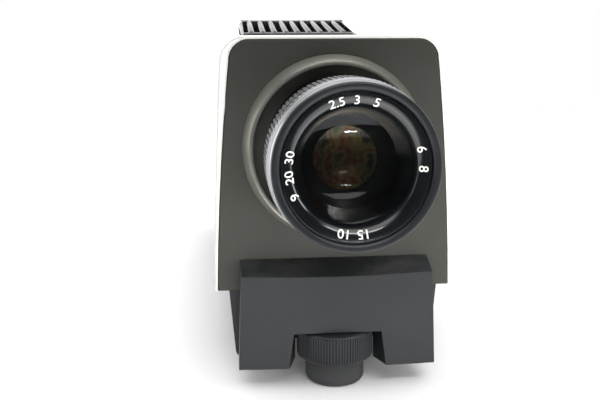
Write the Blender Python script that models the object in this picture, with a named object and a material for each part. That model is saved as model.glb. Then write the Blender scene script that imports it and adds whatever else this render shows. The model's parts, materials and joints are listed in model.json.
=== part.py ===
"""A medium format slide projector, built from its separate pieces.

Run it with blender --background --python part.py, or from Blender's text editor.
Sizes below are in millimetres, and mesh_object turns them into metres. X runs to the right seen
from the front, Y from the lens to the rear, and Z up from the surface the projector stands on.
Depths are counted from the front panel's face and heights from the lens axis, until place()
moves them to the origin on the standing surface under the middle of the projector.
"""
import math

import bmesh
import bpy
from mathutils import Matrix, Vector

MM = 0.001
GAP = 0.3

# The whole projector
AXIS_HEIGHT = 121.5
PANEL_TO_MIDDLE = 151.0
BODY_BOTTOM = -73.0
BODY_FRONT = 21.5
BODY_REAR = 371.0
ROOF_FRONT = 54.9
ROOF_SLOPE = 0.0221
ROOF_REAR = 65.2
WALL = 2.5
CORNER_RADIUS = 13.0
CHASSIS_THICKNESS = 1.5
CHASSIS_TOP = BODY_BOTTOM + CHASSIS_THICKNESS + GAP
REAR_PANEL_FRONT = 367.0
REAR_PANEL_BACK = 370.0

# Front panel and its surround
PANEL_BOTTOM = BODY_BOTTOM
PANEL_TOP = 53.6
PANEL_THICKNESS = 3.0
PANEL_CORNER = 10.0
BEZEL_RIM = 1.4
BEZEL_DEPTH = 20.0

# Lens
RIM_FRONT = -73.0
RIM_RADIUS = 35.9
GRIP_RADIUS = 37.3
GRIP_FRONT = -68.8
GRIP_REAR = -37.0
FLUTE_COUNT = 40
FLUTE_DEPTH = 1.1
BARREL_FRONT = -68.9
BARREL_RADIUS = 33.9
BARREL_BORE = 31.3
BARREL_REAR = 48.0
SLEEVE_RADIUS = 38.0
SLEEVE_BORE = 34.0
ELEMENT_RADIUS = 31.0
CONE_FRONT_RADIUS = 31.9
CONE_REAR = -50.2
GLASS_RADIUS = 21.0
COLLAR_FRONT_RADIUS = 43.0
COLLAR_REAR_RADIUS = 46.4
COLLAR_LENGTH = 10.6

# Slide gate and carrier, for slides in 85 mm mounts
GATE_FRONT = 117.0
PLATE_THICKNESS = 2.0
GATE_HALF_WIDTH = 52.0
GATE_HALF_HEIGHT = 50.0
CARRIER_HALF_HEIGHT = 46.0
CARRIER_FRONT = GATE_FRONT + 2.9
CARRIER_REAR = GATE_FRONT + 9.1
MOUNT_HALF = 43.0
WINDOW_HALF_WIDTH = 35.0
WINDOW_HALF_HEIGHT = 29.0

# Light source
CONDENSER_FRONT = 134.0
CONDENSER_REAR = 188.0
CONDENSER_RADIUS = 45.9
LAMP_HOUSE_FRONT = 191.0
LAMP_HOUSE_REAR = 252.0
LAMP_DEPTH = 216.0
REFLECTOR_RADIUS = 30.0
FAN_DEPTH = 312.0
FAN_BORE = 37.5
FAN_BOTTOM = -40.0
FAN_TOP = -18.0
INNER_FLOOR = -107.2

# Vent cover on the roof
VENT_FRONT = 161.0
VENT_REAR = 228.0
VENT_LEFT = -43.8
VENT_RIGHT = 36.8
VENT_TOP_FRONT = 60.8
VENT_TOP_REAR = 70.7
VENT_BOTTOM = 54.5
VENT_SHOULDER = 4.5
VENT_WALL = 2.4
RIB_PITCH = 8.03
RIB_COUNT = 10
SLOT_HALF_WIDTH = 1.9
HINGE_DEPTH = 231.6
HINGE_HEIGHT = 68.2
PIN_RADIUS = 1.1
KNUCKLE_RADIUS = 2.4
KNUCKLE_ENDS = (-36.0, 30.0)
BRACKET_RADIUS = 2.8
BRACKET_WIDTH = 5.0

# Chin, wheel and feet
CHIN_TOP = -56.5
CHIN_DROP = 5.4
CHIN_DEPTH = 14.3
CHIN_CROWN = 1.5
CHIN_BOTTOM = -110.6
CHIN_HALF_TOP = 48.4
CHIN_HALF_BOTTOM = 50.3
NOTCH_TOP = -92.2
NOTCH_HALF_TOP = 22.3
NOTCH_HALF_BOTTOM = 25.3
NOTCH_HALF_REAR = 20.5
WHEEL_RADIUS = 19.8
WHEEL_DEPTH = -1.6
WHEEL_TOP = -92.7
WHEEL_BOTTOM = -108.4
WHEEL_TEETH = 40
SCREW_RADIUS = 4.0
SCREW_BOTTOM = -114.0
SCREW_TOP = -76.5
FOOT_RADIUS = 15.3
TUB_HALF_TOP = 54.4
TUB_HALF_BOTTOM = 51.7
TUB_TOP = -73.6
TUB_BOTTOM = -110.0
TUB_FRONT = 2.0
TUB_REAR = 366.0

# Rear fittings
INLET_X = (-46.0, -18.0)
INLET_HEIGHT = (-57.0, -37.0)
SWITCH_X = (8.0, 46.0)
SWITCH_HEIGHT = (-57.0, -33.0)
ROCKER_SPOTS = (("power_rocker", 17.5), ("lamp_rocker", 36.5))
ROCKER_AXIS = (367.0, -45.0)
ROCKER_REACH = 10.15
ROCKER_TILT = 16.0
FUSE_SPOT = (0.0, -12.0)


def clear_scene():
    for item in list(bpy.data.objects):
        bpy.data.objects.remove(item, do_unlink=True)


def make_material(name, colour, roughness, metallic=0.0, alpha=1.0):
    result = bpy.data.materials.new(name)
    result.use_nodes = True
    shader = result.node_tree.nodes["Principled BSDF"]
    shader.inputs["Base Color"].default_value = (*colour, 1.0)
    shader.inputs["Roughness"].default_value = roughness
    shader.inputs["Metallic"].default_value = metallic
    shader.inputs["Alpha"].default_value = alpha
    return result


def place(x, depth, height):
    """A point given from the front panel and the lens axis, in metres from the origin."""
    return Vector((x, depth - PANEL_TO_MIDDLE, height + AXIS_HEIGHT)) * MM


def mesh_object(name, points, faces, material, pivot=None, smooth=True):
    """Make a closed mesh object from points in millimetres; pivot becomes its origin."""
    origin = place(*pivot) if pivot else Vector((0.0, 0.0, 0.0))
    mesh = bpy.data.meshes.new(name)
    mesh.from_pydata([place(*point) - origin for point in points], [], faces)
    work = bmesh.new()
    work.from_mesh(mesh)
    bmesh.ops.recalc_face_normals(work, faces=work.faces)
    work.to_mesh(mesh)
    work.free()
    if smooth:
        mesh.shade_smooth()
        mesh.set_sharp_from_angle(angle=math.radians(32))
    item = bpy.data.objects.new(name, mesh)
    item.location = origin
    bpy.context.collection.objects.link(item)
    if material:
        mesh.materials.append(material)
    return item


def loft(name, sections, material, pivot=None, smooth=True):
    """Join outlines with equal point counts, in order, and close both ends."""
    count = len(sections[0])
    points = [point for section in sections for point in section]
    faces = [tuple(range(count)), tuple(range(len(points) - count, len(points)))]
    for level in range(len(sections) - 1):
        for k in range(count):
            a, b = level * count + k, level * count + (k + 1) % count
            faces.append((a, b, b + count, a + count))
    return mesh_object(name, points, faces, material, pivot, smooth)


def hollow_loft(name, outer, inner, material, pivot=None, smooth=True):
    """Join outer outlines and inner outlines, open at both ends, into a tube with a wall."""
    count, levels = len(outer[0]), len(outer)
    points = [point for section in outer + inner for point in section]
    faces = []
    for level in range(levels - 1):
        for k in range(count):
            a, b = level * count + k, level * count + (k + 1) % count
            faces.append((a, b, b + count, a + count))
            c, d = a + levels * count, b + levels * count
            faces.append((c, d, d + count, c + count))
    for start in (0, (levels - 1) * count):
        for k in range(count):
            a, b = start + k, start + (k + 1) % count
            faces.append((a, b, b + levels * count, a + levels * count))
    return mesh_object(name, points, faces, material, pivot, smooth)


def box(name, x, depth, height, material=None, bevel=0.0):
    """A block between pairs of limits along each direction."""
    ends = [[(x[i], d, height[j]) for i, j in ((0, 0), (1, 0), (1, 1), (0, 1))] for d in depth]
    item = loft(name, ends, material, smooth=bevel > 0)
    if bevel:
        edge = item.modifiers.new("rounded", "BEVEL")
        edge.width = bevel * MM
        edge.segments = 2
    return item


def side_profile(name, outline, x, material=None):
    """Extrude an outline of (depth, height) points across X."""
    return loft(name, [[(side, d, h) for d, h in outline] for side in x], material, smooth=False)


def turned(name, profile, material=None, along="depth", centre=(0.0, 0.0), steps=32, pivot=None):
    """Turn a closed outline of (radius, distance) points about an axis.

    Along depth, centre is (x, height). Along height, centre is (x, depth).
    """
    points, rings = [], []
    for radius, distance in profile:
        ring = []
        for k in range(steps if radius else 1):
            angle = 2 * math.pi * k / steps
            u, v = radius * math.cos(angle) + centre[0], radius * math.sin(angle) + centre[1]
            ring.append(len(points))
            points.append((u, distance, v) if along == "depth" else (u, v, distance))
        rings.append(ring)
    faces = []
    for ring, following in zip(rings, rings[1:] + rings[:1]):
        for k in range(steps):
            corners = [ring[k % len(ring)], ring[(k + 1) % len(ring)],
                       following[(k + 1) % len(following)], following[k % len(following)]]
            corners = list(dict.fromkeys(corners))
            if len(corners) > 2:
                faces.append(tuple(corners))
    return mesh_object(name, points, faces, material, pivot)


def pipe(outer, inner, start, end):
    """The outline of a plain tube, for turned()."""
    return [(outer, start), (outer, end), (inner, end), (inner, start)]


def disc(radius, start, end):
    """The outline of a plain cylinder, for turned()."""
    return [(0.0, start), (radius, start), (radius, end), (0.0, end)]


def combine(target, tool, operation="DIFFERENCE"):
    """Cut a tool away from a target, or weld it on, and hide the tool."""
    step = target.modifiers.new(tool.name, "BOOLEAN")
    step.operation = operation
    step.solver = "EXACT"
    step.object = tool
    tool.hide_render = True
    tool.display_type = "WIRE"


def body_half_width(height):
    return 59.47 - 0.0515 * height - 0.000193 * height ** 2


def panel_half_width(height):
    return 56.19 - 0.0795 * height - 0.000374 * height ** 2


def arch(half_width, bottom, top, radius, inset=0.0):
    """A closed outline with gently curved sides and round top corners, as (x, height) points."""
    top, bottom, radius = top - inset, bottom + inset, radius - inset
    spring = top - radius
    side = [bottom + (spring - bottom) * k / 6 for k in range(7)]
    right = [(half_width(height) - inset, height) for height in side]
    centre = right[-1][0] - radius
    for k in range(1, 7):
        angle = math.pi / 2 * k / 6
        right.append((centre + radius * math.cos(angle), spring + radius * math.sin(angle)))
    return right + [(-x, height) for x, height in reversed(right)]


def at_depth(outline, depth):
    return [(x, depth, height) for x, height in outline]


def roof(depth):
    """The roof rises gently, climbs beside the vent and runs level to the rear."""
    low = ROOF_FRONT + ROOF_SLOPE * min(depth, VENT_FRONT)
    climb = min(max((depth - VENT_FRONT) / (VENT_REAR - VENT_FRONT), 0.0), 1.0)
    return low + (ROOF_REAR - low) * climb


def shell(half_width, top, radius, insets, depth):
    """A wall's outline at a depth: up one side, over the roof and down, open at the bottom."""
    outer, inner = (arch(half_width, BODY_BOTTOM - inset, top, radius, inset) for inset in insets)
    return at_depth(outer + inner[::-1], depth)


def move_origin(item, pivot):
    """Put an item's origin at a pivot and leave its shape where it is."""
    origin = place(*pivot)
    item.data.transform(Matrix.Translation(-origin))
    item.location = origin


def build_base(tub_black, rubber_black):
    def tub_section(depth, inset, top):
        half = [(TUB_HALF_BOTTOM - 4, TUB_BOTTOM + inset), (TUB_HALF_BOTTOM - inset, TUB_BOTTOM + 4),
                (TUB_HALF_TOP - inset, top)]
        return at_depth(half + [(-x, height) for x, height in reversed(half)], depth)

    ends = (TUB_FRONT, TUB_REAR)
    tub = loft("base_tub", [tub_section(depth, 0, TUB_TOP) for depth in ends], tub_black)
    flange = box("flange", (-60.5, 60.5), (24, TUB_REAR), (BODY_BOTTOM - 3.3, BODY_BOTTOM - GAP))
    combine(tub, flange, "UNION")
    cavity_ends = (TUB_FRONT + WALL, TUB_REAR - WALL)
    cavity = loft("tub_cavity", [tub_section(d, WALL, TUB_TOP + GAP) for d in cavity_ends], None)
    mouth = box("tub_mouth", (-51.5, 51.5), cavity_ends, (TUB_TOP - 4, BODY_BOTTOM + 5))
    combine(cavity, mouth, "UNION")
    well = box("well_walls", (-28, 28), (TUB_FRONT - 5, 29), (TUB_BOTTOM - 5, NOTCH_TOP + 3))
    combine(cavity, well)
    combine(tub, cavity)
    pocket = box("wheel_pocket", (-25.4, 25.4), (TUB_FRONT - 5, 26.5), (TUB_BOTTOM - 6, NOTCH_TOP))
    combine(tub, pocket)
    screw_axis = (0.0, WHEEL_DEPTH)
    relief = turned("screw_relief", disc(10.5, NOTCH_TOP + 3, TUB_TOP + 1), None, "height",
                    screw_axis, 32)
    combine(tub, relief)
    lug = box("bush_lug", (-14, 14), (-11.3, 6), (NOTCH_TOP, NOTCH_TOP + 3))
    combine(tub, lug, "UNION")
    bush_hole = turned("bush_hole", disc(8.3, NOTCH_TOP - 2, NOTCH_TOP + 5), None, "height",
                       screw_axis, 32)
    combine(tub, bush_hole)
    for k in range(7):
        start = 288 + 8 * k
        slot = box(f"intake_{k}", (-30, 30), (start, start + 4), (TUB_BOTTOM - 2, TUB_BOTTOM + 4))
        combine(tub, slot)

    for side, x in (("left", -40.0), ("right", 40.0)):
        foot = [(0.0, -AXIS_HEIGHT), (7.0, -AXIS_HEIGHT), (8.0, -AXIS_HEIGHT + 1.5),
                (8.5, TUB_BOTTOM - GAP), (0.0, TUB_BOTTOM - GAP)]
        turned(f"rear_foot_{side}", foot, rubber_black, "height", (x, 340.0), steps=28)


def build_chin(plastic):
    """The black moulding under the lens, crowned at the front and hollow behind."""
    def level(half_width, height, slope):
        row = [(-half_width, -GAP)]
        for k in range(9):
            x = half_width * (k / 4 - 1)
            row.append((x, -CHIN_DEPTH - CHIN_CROWN * (1 - (x / half_width) ** 2)))
        row.append((half_width, -GAP))
        return [(x, depth, height + slope * depth / CHIN_DEPTH) for x, depth in row]

    chin = loft("front_chin", [level(CHIN_HALF_BOTTOM, CHIN_BOTTOM, 0),
                               level(CHIN_HALF_TOP, CHIN_TOP, CHIN_DROP)], plastic)
    hollow_depth = (WALL - CHIN_DEPTH, 3)
    combine(chin, box("chin_hollow", (-43.5, 43.5), hollow_depth, (NOTCH_TOP + 3, CHIN_TOP - 9)))
    combine(chin, box("lug_slot", (-14.5, 14.5), hollow_depth, (NOTCH_TOP - 2, NOTCH_TOP + 5)))
    for side in (-1, 1):
        pocket = box("chin_pocket", sorted((28.5 * side, 43.5 * side)), hollow_depth,
                     (CHIN_BOTTOM + WALL, NOTCH_TOP + 4))
        combine(chin, pocket)
    notch_levels = ((-30, NOTCH_HALF_TOP, NOTCH_HALF_BOTTOM),
                    (-CHIN_DEPTH, NOTCH_HALF_TOP, NOTCH_HALF_BOTTOM),
                    (0, NOTCH_HALF_REAR, NOTCH_HALF_REAR), (5, NOTCH_HALF_REAR, NOTCH_HALF_REAR))
    notch = [[(-top, d, NOTCH_TOP), (top, d, NOTCH_TOP), (bottom, d, CHIN_BOTTOM - 3),
              (-bottom, d, CHIN_BOTTOM - 3)] for d, top, bottom in notch_levels]
    combine(chin, loft("chin_notch", notch, None, smooth=False))


def build_elevating_foot(plastic, steel, brass, rubber_black):
    centre = (0.0, WHEEL_DEPTH)
    pivot = (0.0, WHEEL_DEPTH, 0.0)

    def toothed(height, radius, depth):
        ring = []
        for k in range(2 * WHEEL_TEETH):
            angle = math.pi * k / WHEEL_TEETH
            reach = radius - depth * (k % 2)
            ring.append((reach * math.cos(angle), WHEEL_DEPTH + reach * math.sin(angle), height))
        return ring

    levels = [(WHEEL_BOTTOM, 18.6, 0.0), (WHEEL_BOTTOM + 1.2, WHEEL_RADIUS, 0.8),
              (WHEEL_TOP - 1.2, WHEEL_RADIUS, 0.8), (WHEEL_TOP, 18.6, 0.0)]
    outer = [toothed(*level) for level in levels]
    inner = [toothed(level[0], SCREW_RADIUS + GAP, 0.0) for level in levels]
    hollow_loft("thumbwheel", outer, inner, plastic, pivot)
    turned("elevating_screw", disc(SCREW_RADIUS, SCREW_BOTTOM, SCREW_TOP), steel, "height",
           centre, 24, pivot)
    bush = [(4.1, NOTCH_TOP + 0.2), (8.0, NOTCH_TOP + 0.2), (8.0, NOTCH_TOP + 3.5),
            (9.8, NOTCH_TOP + 3.5), (9.8, NOTCH_TOP + 6.5), (4.1, NOTCH_TOP + 6.5)]
    turned("screw_bush", bush, brass, "height", centre, 24)
    low, shoulder = -AXIS_HEIGHT, WHEEL_BOTTOM - GAP
    pad = [(0.0, low), (FOOT_RADIUS - 3.2, low), (FOOT_RADIUS - 1.0, low + 0.9),
           (FOOT_RADIUS, low + 3.2), (FOOT_RADIUS, shoulder - 0.6), (FOOT_RADIUS - 1.0, shoulder),
           (SCREW_RADIUS + 0.4, shoulder), (SCREW_RADIUS + 0.4, SCREW_BOTTOM - 0.5),
           (0.0, SCREW_BOTTOM - 0.5)]
    turned("foot_pad", pad, rubber_black, "height", centre, 48, pivot)


def build_front(cream, olive, collar_metal):
    rim = shell(panel_half_width, PANEL_TOP, PANEL_CORNER, (-BEZEL_RIM, -GAP), 0.0)
    seam = shell(body_half_width, roof(BEZEL_DEPTH), CORNER_RADIUS, (0.7, 3.2), BEZEL_DEPTH)
    loft("front_bezel", [rim, seam], cream)

    plate = arch(panel_half_width, PANEL_BOTTOM, PANEL_TOP, PANEL_CORNER)
    ends = (0.0, PANEL_THICKNESS)
    panel = loft("front_panel", [at_depth(plate, depth) for depth in ends], olive)
    hole = turned("panel_hole", disc(SLEEVE_BORE + 0.4, -2, PANEL_THICKNESS + 2), steps=40)
    combine(panel, hole)

    front, rear = -COLLAR_LENGTH, -GAP
    collar = [(COLLAR_REAR_RADIUS, rear), (COLLAR_FRONT_RADIUS, front),
              (COLLAR_FRONT_RADIUS - 1.8, front), (COLLAR_FRONT_RADIUS - 2.2, front + 0.6),
              (COLLAR_REAR_RADIUS - 2.2, rear)]
    turned("lens_collar", collar, collar_metal, steps=32)


def build_lens(black_metal, grip_plastic, grey_metal, glass):
    flange = PANEL_THICKNESS + GAP
    sleeve = [(SLEEVE_BORE, flange), (44.0, flange), (44.0, flange + 3), (SLEEVE_RADIUS, flange + 3),
              (SLEEVE_RADIUS, 56.0), (SLEEVE_BORE, 56.0)]
    turned("lens_sleeve", sleeve, grey_metal, steps=40)
    barrel = pipe(BARREL_RADIUS, BARREL_BORE, BARREL_FRONT, BARREL_REAR)
    turned("lens_barrel", barrel, black_metal, steps=40)
    rim_rear = BARREL_FRONT - GAP
    rim = [(RIM_RADIUS, rim_rear), (RIM_RADIUS, RIM_FRONT + 0.6), (RIM_RADIUS - 0.6, RIM_FRONT),
           (CONE_FRONT_RADIUS + 1.6, RIM_FRONT), (CONE_FRONT_RADIUS + GAP, RIM_FRONT + 1.2),
           (CONE_FRONT_RADIUS + GAP, rim_rear)]
    turned("lens_front_rim", rim, black_metal, steps=40)
    ring = [(CONE_FRONT_RADIUS, rim_rear), (ELEMENT_RADIUS, rim_rear), (ELEMENT_RADIUS, CONE_REAR),
            (GLASS_RADIUS, CONE_REAR), (GLASS_RADIUS, CONE_REAR - 1.0),
            (CONE_FRONT_RADIUS, RIM_FRONT + 1.7)]
    turned("lens_scale_ring", ring, black_metal, steps=40)

    def fluted(depth, radius, cut):
        points = []
        for k in range(2 * FLUTE_COUNT):
            angle = math.pi * k / FLUTE_COUNT
            reach = radius - cut * (k % 2)
            points.append((reach * math.cos(angle), depth, reach * math.sin(angle)))
        return points

    levels = [(GRIP_FRONT, GRIP_RADIUS - 1.0, 0.0), (GRIP_FRONT + 8.3, GRIP_RADIUS, 0.0),
              (GRIP_FRONT + 9.3, GRIP_RADIUS, FLUTE_DEPTH), (GRIP_REAR, GRIP_RADIUS, FLUTE_DEPTH)]
    outer = [fluted(*level) for level in levels]
    inner = [fluted(level[0], BARREL_RADIUS + GAP, 0.0) for level in levels]
    hollow_loft("focus_ring", outer, inner, grip_plastic, (0.0, GRIP_REAR, 0.0))

    def element(name, front_sag, rear_sag, front, rear):
        """A lens between two depths at its edge, bulging by the two sags at its middle."""
        zones = [(ELEMENT_RADIUS * k / 4, 1 - (k / 4) ** 2) for k in range(5)]
        profile = [(radius, front - front_sag * part) for radius, part in zones]
        profile += [(radius, rear + rear_sag * part) for radius, part in reversed(zones)]
        turned(name, profile, glass, steps=28)

    element("front_element", 3.6, 0.6, -47.0, -40.0)
    element("middle_element", -2.5, -2.5, -32.0, -24.0)
    element("rear_element", 1.0, 4.0, 24.0, 33.0)
    turned("rear_retaining_ring", pipe(ELEMENT_RADIUS, 27.5, 38.0, 42.0), black_metal, steps=32)


def build_housing(cream, rear_black, steel):
    bends = (BODY_FRONT, VENT_FRONT, VENT_REAR, BODY_REAR)
    cover = loft("body_cover", [shell(body_half_width, roof(depth), CORNER_RADIUS, (0, WALL), depth)
                                for depth in bends], cream)
    vent = box("vent_opening", (VENT_LEFT - 0.5, VENT_RIGHT + 0.5),
               (VENT_FRONT - 0.5, VENT_REAR + 0.5), (VENT_BOTTOM - 9, VENT_TOP_REAR + 9))
    combine(cover, vent)
    slot = box("carrier_slot", (40, 80), (CARRIER_FRONT - 0.5, CARRIER_REAR + 0.5),
               (-CARRIER_HALF_HEIGHT - 1, CARRIER_HALF_HEIGHT + 1))
    combine(cover, slot)
    inset = WALL + GAP
    plate = arch(body_half_width, BODY_BOTTOM - inset, ROOF_REAR, CORNER_RADIUS, inset)
    panel = loft("rear_panel", [at_depth(plate, depth) for depth in
                                (REAR_PANEL_FRONT, REAR_PANEL_BACK)], rear_black)
    through = (REAR_PANEL_FRONT - 5, REAR_PANEL_BACK + 5)
    for name, *limits in (("inlet", INLET_X, INLET_HEIGHT), ("switch", SWITCH_X, SWITCH_HEIGHT)):
        x, height = ((low - GAP, high + GAP) for low, high in limits)
        combine(panel, box(f"{name}_opening", x, through, height))
    combine(panel, turned("fuse_opening", disc(8.3, *through), centre=FUSE_SPOT, steps=32))

    spots = ((-49.0, 40.0), (49.0, 40.0), (-50.0, -64.0), (50.0, -64.0))
    for number, (x, height) in enumerate(spots, 1):
        outside = math.copysign(body_half_width(height) - 1.0, x)
        lug = box(f"lug_{number}", sorted((outside, x - math.copysign(4.0, x))), (350, 366.6),
                  (height - 4, height + 4))
        combine(cover, lug, "UNION")
        hole = turned(f"screw_hole_{number}", disc(1.9, 345, 380), centre=(x, height), steps=16)
        combine(cover, hole)
        combine(panel, hole)
        screw = [(0.0, 354.0), (1.5, 354.0), (1.5, 370.3), (3.4, 370.3), (3.4, 371.2),
                 (2.4, 372.0), (0.0, 372.0)]
        turned(f"rear_screw_{number}", screw, steel, centre=(x, height), steps=20)


def build_vent(black, steel):
    """The ribbed hot-air grille, wedge-shaped, with its hinge along the rear."""
    rise = (VENT_TOP_REAR - VENT_TOP_FRONT) / (VENT_REAR - VENT_FRONT)

    def across(depth):
        top = VENT_TOP_FRONT + rise * (depth - VENT_FRONT)
        rounding = [(0.0, VENT_BOTTOM)]
        for k in range(4):
            angle = math.pi / 6 * k
            rounding.append((VENT_SHOULDER * (1 - math.cos(angle)),
                             top - VENT_SHOULDER * (1 - math.sin(angle))))
        right = [(VENT_RIGHT - inset, height) for inset, height in rounding]
        left = [(VENT_LEFT + inset, height) for inset, height in reversed(rounding)]
        return at_depth(right + left, depth)

    cover = loft("vent_cover", [across(VENT_FRONT), across(VENT_REAR)], black)
    start, end, ceiling = VENT_FRONT + 3, VENT_REAR - 3, VENT_TOP_FRONT - 3
    hollow = [(start, VENT_BOTTOM - 2), (end, VENT_BOTTOM - 2),
              (end, ceiling + rise * (end - VENT_FRONT)), (start, ceiling + rise * 3)]
    inside = (VENT_LEFT + VENT_WALL, VENT_RIGHT - VENT_WALL)
    combine(cover, side_profile("vent_hollow", hollow, inside))
    for k in range(RIB_COUNT - 1):
        x = (k - (RIB_COUNT - 2) / 2) * RIB_PITCH
        combine(cover, box(f"vent_slot_{k}", (x - SLOT_HALF_WIDTH, x + SLOT_HALF_WIDTH),
                           (start + 1, end - 1), (VENT_BOTTOM - 5, VENT_TOP_REAR + 5)))

    def rod(name, radius, reach, material=None):
        """A round bar along the hinge's axis."""
        ends = []
        for x in reach:
            ends.append([(x, HINGE_DEPTH + radius * math.cos(math.pi * k / 10),
                          HINGE_HEIGHT + radius * math.sin(math.pi * k / 10)) for k in range(20)])
        return loft(name, ends, material)

    web = box("knuckle_web", KNUCKLE_ENDS, (VENT_REAR - 1, HINGE_DEPTH - 1),
              (HINGE_HEIGHT - 1.8, HINGE_HEIGHT + 1.8))
    combine(cover, web, "UNION")
    combine(cover, rod("knuckle", KNUCKLE_RADIUS, KNUCKLE_ENDS), "UNION")
    combine(cover, rod("knuckle_bore", PIN_RADIUS + GAP, grown(KNUCKLE_ENDS, 14)))
    move_origin(cover, (0.0, HINGE_DEPTH, HINGE_HEIGHT))
    rod("vent_hinge_pin", PIN_RADIUS, grown(KNUCKLE_ENDS, BRACKET_WIDTH + 2), steel)

    hole = rod("pin_hole", PIN_RADIUS + GAP, grown(KNUCKLE_ENDS, 24))
    foot = roof(HINGE_DEPTH) + GAP
    outline = [(HINGE_DEPTH - 2.4, foot), (HINGE_DEPTH + BRACKET_RADIUS, foot)]
    for k in range(9):
        angle = math.pi / 8 * k
        outline.append((HINGE_DEPTH + BRACKET_RADIUS * math.cos(angle),
                        HINGE_HEIGHT + BRACKET_RADIUS * math.sin(angle)))
    start, end = grown(KNUCKLE_ENDS, 1)
    for name, x in (("left", (start - BRACKET_WIDTH, start)),
                    ("right", (end, end + BRACKET_WIDTH))):
        combine(side_profile(f"vent_bracket_{name}", outline, x, black), hole)


def build_gate(grey_metal, black_metal, plastic):
    rear = GATE_FRONT + 10.0
    width, height = (-GATE_HALF_WIDTH, GATE_HALF_WIDTH), (-GATE_HALF_HEIGHT, GATE_HALF_HEIGHT)
    for name, front in (("gate_front_plate", GATE_FRONT), ("gate_rear_plate", rear)):
        plate = box(name, width, (front, front + PLATE_THICKNESS), height, grey_metal)
        window = box(f"{name}_window", (-WINDOW_HALF_WIDTH, WINDOW_HALF_WIDTH),
                     (front - 3, front + 5), (-WINDOW_HALF_HEIGHT, WINDOW_HALF_HEIGHT))
        combine(plate, window)
    for name, low in (("gate_rail_upper", 46.5), ("gate_rail_lower", -50.0)):
        box(name, width, (GATE_FRONT + PLATE_THICKNESS + GAP, rear - GAP), (low, low + 3.5),
            black_metal)

    front, back = CARRIER_FRONT, CARRIER_REAR
    carrier = box("slide_carrier", (-53.4, 54), (front, back),
                  (-CARRIER_HALF_HEIGHT, CARRIER_HALF_HEIGHT), plastic)
    pocket = box("mount_pocket", (-MOUNT_HALF, MOUNT_HALF), (front - 2, front + 4.4),
                 (-MOUNT_HALF, MOUNT_HALF))
    window = box("carrier_window", (-WINDOW_HALF_WIDTH - 1, WINDOW_HALF_WIDTH + 1),
                 (front - 2, back + 2), (-WINDOW_HALF_HEIGHT - 1, WINDOW_HALF_HEIGHT + 1))
    combine(carrier, pocket)
    combine(carrier, window)
    handle = box("carrier_handle", (54 + GAP, 57.5), (front, back), (-45, 45), plastic)
    grip = box("handle_grip", (56.5, 65.0), (front, back), (-17, 17), bevel=1.2)
    combine(handle, grip, "UNION")


def build_light_source(grey_metal, ceramic, glass, lamp_glass, mirror, steel):
    bore = CONDENSER_RADIUS + GAP
    condenser = turned("condenser_housing", pipe(48.5, bore, CONDENSER_FRONT, CONDENSER_REAR),
                       grey_metal, steps=36)
    block = box("housing_foot", (-30, 30), (145, 178), (CHASSIS_TOP, -46.6))
    combine(block, turned("housing_bore", disc(bore + 1.3, 130, 195), steps=36))
    combine(condenser, block, "UNION")

    def plano(name, flat, bulge, edge):
        """A condenser lens with its flat side at one depth, bulging towards the other."""
        curve = [(CONDENSER_RADIUS * k / 5, edge + bulge * (1 - (k / 5) ** 2)) for k in range(6)]
        turned(name, [(0.0, flat), (CONDENSER_RADIUS, flat)] + curve[::-1], glass, steps=32)

    plano("condenser_front", 136.0, 9.0, 139.5)
    turned("condenser_spacer_front", pipe(CONDENSER_RADIUS, 43.0, 141.4, 151.0), grey_metal)
    turned("heat_glass", disc(CONDENSER_RADIUS, 151.3, 155.3), glass)
    turned("condenser_spacer_rear", pipe(CONDENSER_RADIUS, 43.0, 155.6, 169.8), grey_metal)
    plano("condenser_rear", 176.0, -16.0, 172.5)

    def house(inset):
        half, front, rear = 50.0 - inset, LAMP_HOUSE_FRONT + inset, LAMP_HOUSE_REAR - inset
        return [[(-half, front, h), (half, front, h), (half, rear, h), (-half, rear, h)]
                for h in (-62.0, 48.0)]

    lamp_house = hollow_loft("lamp_house", house(0.0), house(1.2), grey_metal, smooth=False)
    opening = (LAMP_HOUSE_FRONT - 9, LAMP_HOUSE_FRONT + 9)
    combine(lamp_house, turned("house_opening", disc(44.0, *opening), steps=32))

    lamp = [(0.0, -32.0), (4.5, -32.0), (4.5, -22.0), (7.2, -18.0), (7.2, 6.0), (6.0, 10.5),
            (3.0, 13.0), (0.0, 13.8)]
    turned("halogen_lamp", lamp, lamp_glass, "height", (0.0, LAMP_DEPTH), 24)
    box("lamp_socket", (-13, 13), (LAMP_DEPTH - 9, LAMP_DEPTH + 9), (-48, -32.3), ceramic, 1.5)
    box("socket_stand", (-9, 9), (LAMP_DEPTH - 6, LAMP_DEPTH + 6), (CHASSIS_TOP, -48.3), steel)

    bowl = []
    for radius, order in ((REFLECTOR_RADIUS, range(6)), (REFLECTOR_RADIUS + 1.6, range(5, -1, -1))):
        for k in order:
            angle = math.radians(52) * k / 5
            bowl.append((radius * math.sin(angle), LAMP_DEPTH - 2 + radius * math.cos(angle)))
    turned("reflector", bowl, mirror, steps=28)
    front, rear = LAMP_DEPTH + 30.2, LAMP_DEPTH + 32.0
    angle_iron = [(front, CHASSIS_TOP), (rear, CHASSIS_TOP), (rear, 12.0), (front, 12.0),
                  (front, CHASSIS_TOP + 1.8), (front - 12, CHASSIS_TOP + 1.8),
                  (front - 12, CHASSIS_TOP)]
    side_profile("reflector_bracket", angle_iron, (-10, 10), steel)


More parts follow.
